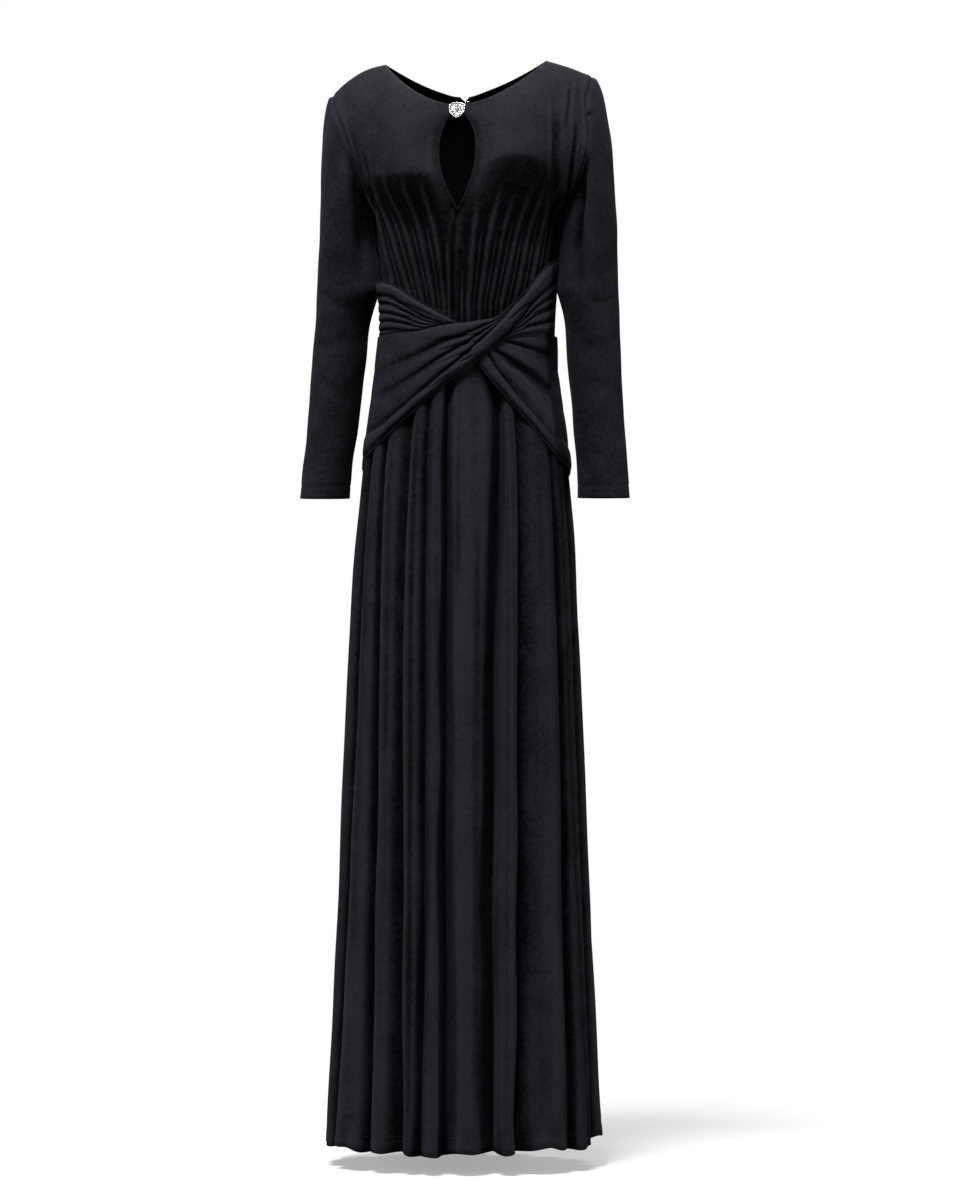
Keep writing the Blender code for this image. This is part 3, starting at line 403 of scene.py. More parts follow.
BACK_HEIGHTS = table("angle* lift_low lift_high band upper_fan lower_fan", [
    (66, 1.2, 1.2, 1.2, 0.4, 0),
    (84, 1.2, 1.2, 0.8, 0.6, 0),
    (110, 1.2, 1.2, 3.4, 1.2, 0),
    (180, 1.2, 1.2, 3.6, 1.6, 0),
    (240, 1.2, 1.2, 3.4, 1.1, 0),
    (266, 1.2, 1.2, 0.8, 0.6, 0),
    (284, 1.2, 1.2, 1.2, 0.4, 0),
])

# Creases between the pleats of each fan, as shares of its height.
OVER_CREASES = {"upper": (0.36, 0.65), "lower": (0.25, 0.53, 0.76)}
UNDER_CREASES = {"upper": (0.45, 0.78), "lower": (0.24, 0.44, 0.62, 0.83)}
BACK_CREASES = {"upper": (0.34, 0.70), "lower": ()}

# Creases drawn on the cloth as they are seen from the front, in millimetres across and up from the
# point between the shoulders: half width, depth (negative where the cloth is raised) and course.
CHEST_RIGHT_CREASES = {
    "beside the armhole": (3.4, 2.4, ((-150, -112), (-142, -150), (-134, -186), (-131, -240), (-129, -300))),
    "under the arm": (3.0, 1.2, ((-136, -250), (-118, -285), (-104, -312))),
}
CHEST_LEFT_CREASES = {
    "ridge from the shoulder": (3.2, -1.8, ((116, -36), (118, -75), (119, -110), (117, -150), (115, -185))),
    "hollow beside it": (8.0, 6.0, ((127, -62), (128, -110), (127, -160), (124, -215), (121, -250))),
    "short ridge": (2.6, -1.6, ((153, -22), (151, -46), (148, -70))),
    "short hollow": (2.8, 2.0, ((146, -30), (144, -62), (140, -96))),
    "beside the armhole": (3.4, 3.0, ((156, -70), (154, -110), (146, -170), (140, -215), (133, -270))),
    "ridge at the armhole": (2.4, -1.4, ((160, -100), (151, -165), (143, -215), (137, -255))),
}
SLEEVE_RIGHT_CREASES = {
    "from the armhole": (9.5, 6.5, ((-172, -112), (-158, -160), (-148, -225), (-144, -300))),
    "inner hollow": (10.0, 4.0, ((-160, -150), (-153, -205), (-150, -260), (-153, -330))),
    "elbow high": (7.0, 0.8, ((-214, -318), (-186, -340), (-150, -346))),
    "elbow low": (8.0, 0.6, ((-222, -392), (-196, -400), (-160, -384))),
    "forearm": (9.0, 0.6, ((-214, -440), (-184, -466), (-154, -470))),
    "wrist": (8.0, 0.5, ((-230, -530), (-206, -552), (-176, -556))),
}
SLEEVE_LEFT_CREASES = {
    "tuck at the shoulder": (2.4, 3.0, ((158, -66), (169, -72), (180, -70))),
    "ridge over the tuck": (3.0, -1.6, ((160, -58), (170, -62), (182, -60))),
    "from the armhole": (11.0, 7.5, ((176, -112), (165, -160), (156, -225), (152, -300))),
    "inner hollow": (12.0, 6.5, ((170, -150), (161, -205), (157, -260), (160, -345))),
    "elbow high": (7.0, 0.8, ((212, -330), (190, -338), (160, -326))),
    "elbow low": (8.0, 0.6, ((218, -380), (190, -398), (158, -402))),
    "forearm": (9.0, 0.6, ((214, -462), (188, -456), (158, -436))),
    "wrist": (8.0, 0.5, ((228, -552), (200, -560), (172, -540))),
}
OVER_WRAP_CREASES = {
    "top fold": (2.2, 1.5, ((30, -381), (-2, -386), (-32, -390), (-58, -398))),
    "first pleat": (1.8, 1.4, ((30, -392), (-10, -398), (-48, -410))),
    "second pleat": (1.8, 1.2, ((22, -402), (-14, -414), (-52, -430))),
    "third pleat": (1.6, 1.3, ((14, -412), (-12, -424), (-40, -440))),
    "fourth pleat": (2.4, 0.7, ((0, -424), (-34, -448), (-76, -474))),
    "hip hollow": (7.0, 0.5, ((-40, -452), (-78, -468), (-118, -480))),
    "low hip hollow": (6.0, 0.4, ((-62, -478), (-94, -494), (-124, -504))),
    "upper right pleat": (1.5, 1.3, ((58, -366), (78, -348), (104, -330))),
    "middle right pleat": (1.5, 1.2, ((60, -372), (86, -358), (114, -346))),
    "lower right pleat": (1.5, 1.1, ((62, -378), (88, -371), (118, -366))),
}
UNDER_WRAP_CREASES = {
    "left first pleat": (1.6, 1.4, ((-124, -330), (-84, -342), (-40, -362))),
    "left second pleat": (1.5, 1.2, ((-124, -342), (-84, -352), (-44, -368))),
    "left third pleat": (1.5, 1.1, ((-123, -352), (-80, -360), (-40, -372))),
    "left fourth pleat": (1.5, 1.0, ((-123, -364), (-80, -368), (-46, -374))),
    "right fold": (3.0, -1.4, ((40, -394), (74, -402), (112, -412))),
    "right hollow": (3.0, 1.6, ((36, -404), (62, -418), (84, -432), (112, -454))),
    "right second fold": (3.5, -1.0, ((44, -422), (72, -442), (104, -470))),
    "right third hollow": (3.0, 1.0, ((52, -440), (76, -464), (106, -496))),
}

# Turns of the bust: place across, height, how far the turn drops to its sides, width and sharpness.
BUST = table("centre turn_z dome wide above below sharp*", [
    (-77, -162, 1, 66, 52, 32, 1.35),
    (84, -136, 18, 56, 50, 34, 1.45),
])


def smooth(at, knots, values):
    """Value at a place on the smooth curve through the knots, level past both ends."""
    knots = np.asarray(knots, float)
    values = np.asarray(values, float)
    order = np.argsort(knots)
    knots = knots[order]
    values = values[order]
    slopes = np.gradient(values, knots)
    at = np.clip(at, knots[0], knots[-1])
    i = np.clip(np.searchsorted(knots, at) - 1, 0, len(knots) - 2)
    span = knots[i + 1] - knots[i]
    t = (at - knots[i]) / span
    start = values[i] * (2 * t ** 3 - 3 * t ** 2 + 1) + slopes[i] * span * (t ** 3 - 2 * t ** 2 + t)
    end = values[i + 1] * (3 * t ** 2 - 2 * t ** 3) + slopes[i + 1] * span * (t ** 3 - t ** 2)
    return start + end


def look_up(rows, column, at, key="z"):
    """A named column of a table at a height, or at an angle."""
    return smooth(at, rows[key], rows[column])


def step(value, start, end):
    """Smooth change from 0 to 1 between two values."""
    t = np.clip((value - start) / (end - start), 0, 1)
    return t * t * (3 - 2 * t)


def unit(vectors):
    """Vectors at length one."""
    return vectors / np.maximum(np.linalg.norm(vectors, axis=-1, keepdims=True), 1e-9)


def points(x, y, z):
    """Arrays of coordinates joined into points."""
    return np.stack(np.broadcast_arrays(x, y, z), axis=-1)


def body(angle, z, out=0.0):
    """Point of the figure at an angle and a height, moved level outward."""
    a = np.radians(angle)
    side = look_up(FORM, "side", z)
    depth = np.where(np.cos(a) > 0, look_up(FORM, "front", z), look_up(FORM, "back", z))
    normal = unit(points(np.sin(a) / side, -np.cos(a) / depth, 0.0 * a))
    middle = look_up(FORM, "shift", z)
    return points(middle + side * np.sin(a), -depth * np.cos(a), z) + normal * np.asarray(out)[..., None]


def body_normal(angle, z):
    """Level outward direction of the figure."""
    return unit(body(angle, z, 0.01) - body(angle, z, 0.0))


def arc_from(angle, centre, z):
    """Distance along the figure's section from one angle to another."""
    a = np.radians((angle + centre) / 2)
    side = look_up(FORM, "side", z)
    depth = np.where(np.cos(a) > 0, look_up(FORM, "front", z), look_up(FORM, "back", z))
    reach = np.hypot(side * np.cos(a), depth * np.sin(a))
    return reach * np.radians(angle - centre)


def seam_angle(side, z):
    """Angle of the side seam; side is "right" or "left"."""
    return look_up(SIDE_SEAM, side, z)


def wrap_top(angle):
    """Upper visible edge of the wraps on the front."""
    over = look_up(OVER_WRAP, "high", angle, "angle")
    under = look_up(UNDER_WRAP, "high", angle, "angle")
    return np.maximum(over, under)


def wrap_bottom(angle):
    """Lower visible edge of the wraps, on the front or the back."""
    over = look_up(OVER_WRAP, "low", angle, "angle")
    under = look_up(UNDER_WRAP, "low", angle, "angle")
    back = look_up(BACK_WRAP, "low", angle, "angle")
    turned = np.where(angle < 0, angle + 360, angle)
    behind = (turned > 72) & (turned < 281)
    return np.where(behind, back, np.minimum(over, under))


def seen(at):
    """Where points are seen from the front, in metres across and up."""
    turn = np.radians(VIEW_AZIMUTH)
    across = at[..., 0] * np.cos(turn) + at[..., 1] * np.sin(turn)
    ahead = at[..., 1] * np.cos(turn) - at[..., 0] * np.sin(turn)
    scale = VIEW_DISTANCE / (VIEW_DISTANCE + ahead)
    return across * scale, EYE_Z + (at[..., 2] - EYE_Z) * scale


def creased(at, creases):
    """Inward move of points at creases drawn as they are seen from the front, soft at both ends."""
    across, up = seen(at)
    pressed = np.zeros(at.shape[:-1])
    for half, depth, course in creases.values():
        line = np.array(course) / 1000
        lengths = np.linalg.norm(np.diff(line, axis=0), axis=1)
        total = lengths.sum()
        nearest = np.full(at.shape[:-1], 1.0)
        along = np.zeros(at.shape[:-1])
        passed = 0.0
        for a, b, length in zip(line[:-1], line[1:], lengths):
            share = ((across - a[0]) * (b[0] - a[0]) + (up - a[1]) * (b[1] - a[1])) / length ** 2
            share = np.clip(share, 0, 1)
            away = np.hypot(across - a[0] - share * (b[0] - a[0]), up - a[1] - share * (b[1] - a[1]))
            closer = away < nearest
            nearest = np.where(closer, away, nearest)
            along = np.where(closer, (passed + share * length) / total, along)
            passed += length
        fade = step(along, 0.0, 0.22) * step(along, 1.0, 0.70)
        wide = half / 1000 * (0.75 + 0.5 * along)
        pressed += depth / 1000 * fade * np.exp(-(nearest / wide) ** 2)
    return pressed


def rolling(at, size, seed):
    """Slow unevenness of a surface, from -1 to 1."""
    turn = np.array([[1.0, 0.3, 0.7], [-0.6, 1.1, 0.5], [0.4, -0.8, 1.2], [0.9, 0.6, -0.7]])
    phase = np.array([0.3, 1.9, 3.7, 5.1]) + seed
    waves = np.sin(at @ turn.T * 2 * np.pi / size + phase)
    return waves.mean(axis=-1)


def gathers_over(angle, z, folds):
    """Raised folds of a table, at their height over the hollows between them."""
    crown = np.zeros_like(angle * z)
    for fold in folds:
        centre = smooth(z, GATHER_Z, (fold["high"], fold["middle"], fold["low"]))
        away = np.abs(arc_from(angle, centre, z)) / fold["width"]
        strength = step(z, fold["top_z"] + 0.012, fold["top_z"] - 0.042)
        crown = np.maximum(crown, fold["height"] * strength * np.exp(-away ** 1.7))
    return crown


def gather_out(angle, z):
    """Move of the bodice front between and on its gathers."""
    crown = np.maximum(gathers_over(angle, z, GATHERS), gathers_over(angle, z, FINE_GATHERS))
    sunk = GATHERS_SINK * step(z, -0.160, -0.240) * step(np.abs(angle), 84.0, 76.0)
    hidden = step(z, wrap_top(angle) - 0.022, wrap_top(angle) - 0.002)
    return (crown - sunk) * hidden


def bust_out(x, z):
    """Fullness of the bodice over the bust, with a rather sharp turn under which it falls away."""
    moved = np.zeros_like(x * z)
    for centre, turn_z, dome, wide, above, below, sharp in BUST:
        away = np.abs(x - centre)
        turn = turn_z - dome * (away / 0.050) ** 2
        across = np.exp(-(away / wide) ** 3)
        upper = np.exp(-(np.abs(z - turn) / above) ** sharp)
        lower = np.exp(-(np.abs(z - turn) / below) ** sharp)
        moved += BUST_BULGE * across * np.where(z > turn, upper, lower)
    return moved


def skirt_point(angle, z, valleys, soft_folds, span_share):
    """Point of the skirt: the figure's section with its folds pressed in and its crowns filled out."""
    drop = np.clip((WAIST_Z - z) / (WAIST_Z - HEM_Z), 0, 1)
    pressed = np.zeros_like(angle * z)
    aside = np.zeros_like(pressed)
    for number, fold in enumerate(valleys):
        centre = smooth(z, VALLEY_Z, (fold["high"], fold["middle"], fold["low"]))
        centre = centre + 0.35 * np.sin(z * 9.0 + number * 2.1) + 0.20 * np.sin(z * 23.0 + number * 1.3)
        width = fold["top_width"] + (fold["hem_width"] - fold["top_width"]) * drop
        depth = fold["top_depth"] + (fold["hem_depth"] - fold["top_depth"]) * drop ** 0.9
        depth = depth * (1 + 0.10 * np.sin(z * 13.0 + number * 1.7))
        arc = arc_from(angle, centre, z)
        away = np.abs(arc) / (width * (1 - 0.40 * fold["lean"] * np.tanh(arc / width)))
        profile = 0.70 * np.exp(-away ** 1.9) + 0.30 * np.exp(-(away / 2.3) ** 2)
        pressed += depth * profile
        aside += 0.45 * fold["lean"] * depth * np.exp(-away ** 1.9)
    for fold in soft_folds:
        centre = smooth(z, VALLEY_Z, (fold["high"], fold["middle"], fold["low"]))
        strength = step(z, fold["from_z"] + 0.01, fold["from_z"] - 0.10)
        strength = strength * step(z, fold["to_z"], fold["to_z"] + 0.12)
        away = arc_from(angle, centre, z) / (fold["width"] * (0.7 + 0.6 * drop))
        pressed += fold["depth"] * strength * (0.6 + 0.7 * drop) * np.exp(-away ** 2)
    skewed = span_share ** CROWN_SKEW
    crown = 4 * skewed * (1 - skewed)
    shown = step(z, wrap_bottom(angle) + 0.030, wrap_bottom(angle) - 0.006)
    turned = np.where(angle > 180, angle - 360, angle)
    beside = np.minimum(np.abs(turned - seam_angle("left", z)), np.abs(turned - seam_angle("right", z)))
    height = CROWN_AT_WAIST + CROWN_TO_HEM * drop
    pressed -= crown * height * (0.55 + 0.45 * step(beside, 8.0, 26.0))
    shown = shown * (0.15 + 0.85 * step(beside, 0.0, 5.0))
    outward = body_normal(angle, z)
    sideways = points(-outward[..., 1], outward[..., 0], 0.0)
    return body(angle, z, -pressed * shown) + sideways * (aside * shown)[..., None]


def armhole(side, rows):
    """Front and back halves of one armhole, from the shoulder tip to the underarm."""
    at = np.linspace(0, 1, rows)
    knots = np.linspace(0, 1, len(ARMHOLE))
    x = smooth(at, knots, ARMHOLE[side + "_x"])
    z = smooth(at, knots, ARMHOLE[side + "_z"])
    front = points(x, smooth(at, knots, ARMHOLE["front_y"]) - SEAM_GAP / 2, z)
    back = points(x, smooth(at, knots, ARMHOLE["back_y"]) + SEAM_GAP / 2, z)
    return front, back


def armhole_outward(side, at):
    """Shared direction of both walls at the armhole seam."""
    core = np.array(ARMHOLE_CORE)
    if side == "right":
        core = core * (-1, 1, 1)
    return unit(at - core)


def neck_edge(share, side, front):
    """Neckline from the centre (share 0) to the top of the shoulder seam (share 1)."""
    sign = -1 if side == "right" else 1
    deep_z = FRONT_NECK_Z if front else BACK_NECK_Z
    deep_y = FRONT_NECK_Y if front else BACK_NECK_Y
    centre = CENTRE_FRONT["x"][0] if front else CENTRE_BACK["x"][0]
    x = centre + (sign * NECK_HALF_WIDTH + NECK_SHIFT - centre) * share
    curve = FRONT_NECK_CURVE if front else BACK_NECK_CURVE[side]
    z = deep_z + (NECK_TOP[side] - deep_z) * share ** curve
    y = deep_y + (SHOULDER_Y - deep_y) * share ** 2.2
    return points(x, y, z)


def top_edge(shares, side, front):
    """Neckline, then the slightly rounded shoulder seam out to the shoulder tip."""
    tip = armhole(side, 7)[0 if front else 1][0]
    high = neck_edge(1.0, side, front)
    high[1] = tip[1]
    on_neck = neck_edge(np.clip(shares / NECK_SHARE, 0, 1), side, front)
    along = np.clip((shares - NECK_SHARE) / (1 - NECK_SHARE), 0, 1)[:, None]
    on_seam = high + (tip - high) * along
    on_seam[:, 2] += SHOULDER_ROUND[side] * (4 * along * (1 - along))[:, 0]
    return np.where((shares < NECK_SHARE)[:, None], on_neck, on_seam)


def patch(top, bottom, centre, outer, across, down):
    """Surface between four edges that meet at the corners."""
    u = across[:, None, None]
    v = down[None, :, None]
    ruled = (1 - v) * top[:, None] + v * bottom[:, None] + (1 - u) * centre[None] + u * outer[None]
    corners = (1 - u) * (1 - v) * top[0] + u * (1 - v) * top[-1]
    corners = corners + (1 - u) * v * bottom[0] + u * v * bottom[-1]
    return ruled - corners


def relaxed(grid, free, rounds):
    """Grid made smooth where it is free to move."""
    for _ in range(rounds):
        near = (grid[:-2, 1:-1] + grid[2:, 1:-1] + grid[1:-1, :-2] + grid[1:-1, 2:]) / 4
        move = (near - grid[1:-1, 1:-1]) * free[1:-1, 1:-1, None]
        grid = grid.copy()
        grid[1:-1, 1:-1] += move
    return grid


def grid_normals(grid, closed=False):
    """Outward directions of a grid whose first index runs with the angle and second runs down."""
    if closed:
        along = np.roll(grid, -1, axis=0) - np.roll(grid, 1, axis=0)
    else:
        along = np.gradient(grid, axis=0)
    down = np.gradient(grid, axis=1)
    return unit(np.cross(down, along))


def from_edge(grid, axis):
    """Distance of each point of a grid from its first edge, along the cloth."""
    steps = np.linalg.norm(np.diff(grid, axis=axis), axis=-1)
    start = np.zeros_like(steps.take([0], axis=axis))
    return np.concatenate((start, np.cumsum(steps, axis=axis)), axis=axis)


def from_sides(grid):
    """Distances of each point of a grid from its first and its last column."""
    return from_edge(grid, 0), from_edge(grid[::-1], 0)[::-1]


def from_ends(grid):
    """Distances of each point of a grid from its top and its bottom."""
    return from_edge(grid, 1), from_edge(grid[:, ::-1], 1)[:, ::-1]


def angle_of(at):
    """Angle on the figure of points anywhere, and the height at which it was looked up."""
    z = np.minimum(at[..., 2], FORM["z"][0])
    side = look_up(FORM, "side", z)
    across = at[..., 0] - look_up(FORM, "shift", z)
    return np.degrees(np.arctan2(across / side, -at[..., 1] / look_up(FORM, "front", z))), z


def rolled(distance, height=0.0008, width=0.0026):
    """Raised soft roll of a turned edge."""
    return height * np.exp(-(distance / width) ** 2)


def seamed(distance, depth=0.0010, width=0.0026):
    """Hollow in which a seam lies, with the cloth swelling beside it."""
    hollow = np.exp(-(distance / width) ** 2)
    swelling = np.exp(-((distance - 2.6 * width) / width) ** 2)
    return 0.30 * depth * swelling - depth * hollow


def blurred(grid, axis, reach, closed):
    """Grid averaged softly along one of its directions, over a distance."""
    spacing = np.linalg.norm(np.diff(grid, axis=axis), axis=-1).mean()
    cells = max(reach / spacing, 0.6)
    count = grid.shape[axis]
    total = np.zeros_like(grid)
    weights = 0.0
    for offset in range(-int(2.5 * cells), int(2.5 * cells) + 1):
        at = np.arange(count) + offset
        at = at % count if closed else np.clip(at, 0, count - 1)
        weight = math.exp(-0.5 * (offset / cells) ** 2)
        total += weight * grid.take(at, axis=axis)
        weights += weight
    return total / weights


def painted_light_and_shade(name, outer, outward, closed):
    """Painted light and shade, 0 to 1: darker in hollows (painted shade), lighter on crowns and where the
    cloth faces up (painted light).
    """
    reach, height = HOLLOW_SHADE_SCALES[name.split("_")[0]]
    level = blurred(blurred(outer, 0, reach, closed), 1, reach, False)
    raised = ((outer - level) * outward).sum(axis=-1)
    raised = (raised - np.percentile(raised, HOLLOW_SHADE_LEVEL_SHARE)) / height
    slope = grid_normals(outer, closed)
    facing = slope[..., 2] * np.sign((slope * outward).sum(axis=-1))
    lift = 0.5 + PAINTED_CROWN_AND_HOLLOW * np.tanh(raised) + PAINTED_TOP_LIGHT * np.tanh(facing / TOP_LIGHT_SLOPE)
    # Painted shade on the bodice front under the bust.
    if name.startswith("bodice_front"):
        lift = lift - PAINTED_SHADE_UNDER_BUST * step(outer[..., 2], -0.205, -0.260)
    return np.clip(lift, 0, 1)


def walled(name, outer, outward, faces_of, closed=False):
    """Shell of cloth under a grid of outer points, with rounded rims, as one piece of the scene."""
    painted_values = painted_light_and_shade(name, outer, outward, closed).ravel()
    inner = outer - outward * WALL
    columns, rows = outer.shape[:2]
    middle = (outer + inner) / 2
    above = middle[:, 0] + unit(middle[:, 0] - middle[:, 1]) * WALL / 2
    below = middle[:, -1] + unit(middle[:, -1] - middle[:, -2]) * WALL / 2
    blocks = [outer.reshape(-1, 3), inner.reshape(-1, 3), above, below]
    under = columns * rows
    top = 2 * under
    bottom = top + columns
    i, j = np.meshgrid(np.arange(columns if closed else columns - 1), np.arange(rows - 1), indexing="ij")
    here = (i % columns) * rows + j
    there = ((i + 1) % columns) * rows + j
    face = np.stack((here, here + 1, there + 1, there), axis=-1).reshape(-1, 4)
    quads = [face, under + face[:, ::-1]]
    c = np.arange(columns if closed else columns - 1)
    d = (c + 1) % columns
    quads.append(np.stack((c * rows, d * rows, top + d, top + c), axis=-1))
    quads.append(np.stack((top + c, top + d, under + d * rows, under + c * rows), axis=-1))
    c_low = c * rows + rows - 1
    d_low = d * rows + rows - 1
    quads.append(np.stack((d_low, c_low, bottom + c, bottom + d), axis=-1))
    quads.append(np.stack((bottom + d, bottom + c, under + c_low, under + d_low), axis=-1))
    if not closed:
        j = np.arange(rows - 1)
        first = bottom + columns
        blocks.append(middle[0] + unit(middle[0] - middle[1]) * WALL / 2)
        blocks.append(middle[-1] + unit(middle[-1] - middle[-2]) * WALL / 2)
        last = first + rows
        far = (columns - 1) * rows
        quads.append(np.stack((j + 1, j, first + j, first + j + 1), axis=-1))
        quads.append(np.stack((first + j + 1, first + j, under + j, under + j + 1), axis=-1))
        quads.append(np.stack((far + j, far + j + 1, last + j + 1, last + j), axis=-1))
        quads.append(np.stack((last + j, last + j + 1, under + far + j + 1, under + far + j), axis=-1))
    count = sum(len(q) for q in quads)
    inside = np.zeros(count, dtype=np.int32)
    inside[len(face):2 * len(face)] = 1
    piece = add_mesh(name + "_cloth", np.concatenate(blocks), np.concatenate(quads), faces_of, inside)
    painted_shading = np.full(len(piece.data.vertices), 0.5)
    painted_shading[:len(painted_values)] = painted_values
    painted_shading[len(painted_values):2 * len(painted_values)] = painted_values
    # The 'pile' attribute holds painted light and shade: painted shade in hollows and under the bust, painted
    # light on crowns and on cloth that faces up.
    piece.data.attributes.new("pile", "FLOAT", "POINT").data.foreach_set("value", painted_shading)
    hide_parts(name)
    return piece


def add_mesh(name, vertices, faces, materials, material_index=None, smooth_faces=True):
    """New object of the dress."""
    mesh = bpy.data.meshes.new(name)
    if isinstance(faces, np.ndarray):
        faces = faces.tolist()
    mesh.from_pydata(np.asarray(vertices).tolist(), [], faces)
    mesh.polygons.foreach_set("use_smooth", [smooth_faces] * len(mesh.polygons))
    piece = bpy.data.objects.new(name, mesh)
    for material in materials:
        mesh.materials.append(material)
    if material_index is not None:
        mesh.polygons.foreach_set("material_index", material_index)
    mesh.update()
    bpy.context.scene.collection.objects.link(piece)
    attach(piece, "root")
    return piece


def fold_columns(centres, per_fold, start, end):
    """Angles of grid columns, a number between each two folds, and each one's share of its span."""
    lines = [start] + list(centres) + [end]
    columns = []
    for a, b in zip(lines[:-1], lines[1:]):
        columns += [a + (b - a) * k / per_fold for k in range(per_fold)]
    columns.append(end)
    return np.array(columns)


def bodice_grid(side, front, columns, centre_edge, across, down, high_z, low_z):
    """Points of half a front or back: a patch down to the bust line, then the figure's own levels."""
    low_angles = np.array([columns(z) for z in low_z]).T
    lower = body(low_angles, low_z[None, :] + 0 * low_angles)
    bottom = body(columns(BUST_Z), np.full(len(across), BUST_Z))
    centre = np.array([centre_edge(z) for z in high_z])
    outer = armhole(side, len(high_z))[0 if front else 1]
    top = top_edge(across, side, front)
    top[0] = centre[0]
    bottom[0] = centre[-1]
    bottom[-1] = outer[-1]
    upper = patch(top, bottom, centre, outer, across, down)
    round_over = np.sin(np.pi * across)[:, None] * (down * (1 - down) ** 2 * 6.75)[None, :]
    upper = upper + round_over[..., None] * np.array(CHEST_FULL if front else BLADES_FULL)
    over = np.sin(np.pi * across ** 4)[:, None] * (down ** 0.5 * (1 - down) ** 3)[None, :]
    away = (0.0, -SHOULDER_OUT if front else SHOULDER_OUT, SHOULDER_UP)
    upper = upper + over[..., None] * np.array(away)
    return np.concatenate((upper, lower), axis=1)


def bodice_cloth(side, front, grid, detail, across, low_z, cloth):
    """Half a front or back as cloth, its walls in line with the pieces that it is sewn to."""
    turned = (side == "right") == front
    order = slice(None, None, -1 if turned else 1)
    grid = grid[order]
    detail = detail[order]
    outward = grid_normals(grid)
    middle, edge = (-1, 0) if turned else (0, -1)
    high_rows = grid.shape[1] - len(low_z)
    outward[middle] = unit(outward[middle] * (0, 1, 1))
    outward[edge, :high_rows] = armhole_outward(side, grid[edge, :high_rows])
    outward[edge, high_rows:] = body_normal(seam_angle(side, low_z), low_z)
    on_seam = ((across >= NECK_SHARE) & (across < 1))[order]
    outward[on_seam, 0] = unit(outward[on_seam, 0] * (1, 0, 1))
    grid = grid + outward * detail[..., None]
    return walled(("bodice_front_" if front else "bodice_back_") + side, grid, outward, cloth)


def bodice_front(side, cloth, per_fold=22, high_rows=74, low_rows=60):
    """One half of the bodice front, from neckline and shoulder seam to the waist seam."""
    sign = -1 if side == "right" else 1
    low_z = np.linspace(BUST_Z, WAIST_Z + SEAM_GAP / 2, low_rows + 1)[1:]
    down = np.linspace(0, 1, high_rows)
    marks = [-0.0645, -0.0770, -0.0880, -0.1200, -0.1550, -0.1880, BUST_Z]
    high_z = np.interp(down, np.linspace(0, 1, 7), marks)

    def columns(z):
        mine = [fold for fold in GATHERS if np.sign(fold["low"]) == sign]
        mine.sort(key=lambda fold: abs(fold["low"]))
        from_middle = centre_edge(z)[0] - look_up(FORM, "shift", z)
        edge = np.degrees(np.arcsin(from_middle / look_up(FORM, "side", z)))
        centres = [smooth(z, GATHER_Z, (f["high"], f["middle"], f["low"])) for f in mine]
        return fold_columns(centres, per_fold, edge, seam_angle(side, z) - sign * 0.08)

    def centre_edge(z):
        half = max(float(look_up(KEYHOLE, "half", z)), SEAM_GAP / 2)
        if not KEYHOLE["z"][-1] < z < KEYHOLE["z"][0]:
            half = SEAM_GAP / 2
        return look_up(CENTRE_FRONT, "x", z) + sign * half, look_up(CENTRE_FRONT, "y", z), z

    line_angles = columns(BUST_Z)
    across = np.clip((line_angles - line_angles[0]) / (line_angles[-1] - line_angles[0]), 0, 1)
    grid = bodice_grid(side, True, columns, centre_edge, across, down, high_z, low_z)
    row = np.arange(grid.shape[1])
    ends = step(across, 0.0, 0.10) * step(across, 1.0, 0.90)
    levels = step(row, 1, 7) * step(row, high_rows + 26, high_rows + 10)
    grid = relaxed(grid, ends[:, None] * levels[None, :], 140)
    grid = grid + gathered(grid) * (across < 0.99)[:, None, None]
    full = bust_out(grid[:, 1:, 0], grid[:, 1:, 2])
    grid[:, 1:, 1] -= full * (step(across, 1.0, 0.80) * step(across, -0.04, 0.10))[:, None]
    to_centre, to_side = from_sides(grid)
    to_top = from_edge(grid, 1)
    keyhole = (grid[:1, :, 2] > KEYHOLE["z"][-1] + 0.001) & (grid[:1, :, 2] < KEYHOLE["z"][0] - 0.001)
    neck = (across < NECK_SHARE)[:, None]
    detail = np.where(keyhole, rolled(to_centre), seamed(to_centre))
    detail = detail + np.where(neck, rolled(to_top, 0.0007, 0.0030), seamed(to_top, 0.0008))
    detail = detail + seamed(to_side, 0.0018 - 0.0013 * step(grid[..., 2], -0.180, -0.206))
    creases = CHEST_RIGHT_CREASES if side == "right" else CHEST_LEFT_CREASES
    free = step(to_side, 0.0, 0.004) * step(to_top, 0.0, 0.006)
    detail = detail - creased(grid, creases) * free
    detail = detail + 0.0005 * rolling(grid, 0.052, 1.0 + sign) * free
    return bodice_cloth(side, True, grid, detail, across, low_z, cloth)


def gathered(at):
    """Moves of points above the bust line that carry the gathers up until they fade."""
    angle, z = angle_of(at)
    return body_normal(angle, z) * gather_out(angle, at[..., 2])[..., None]


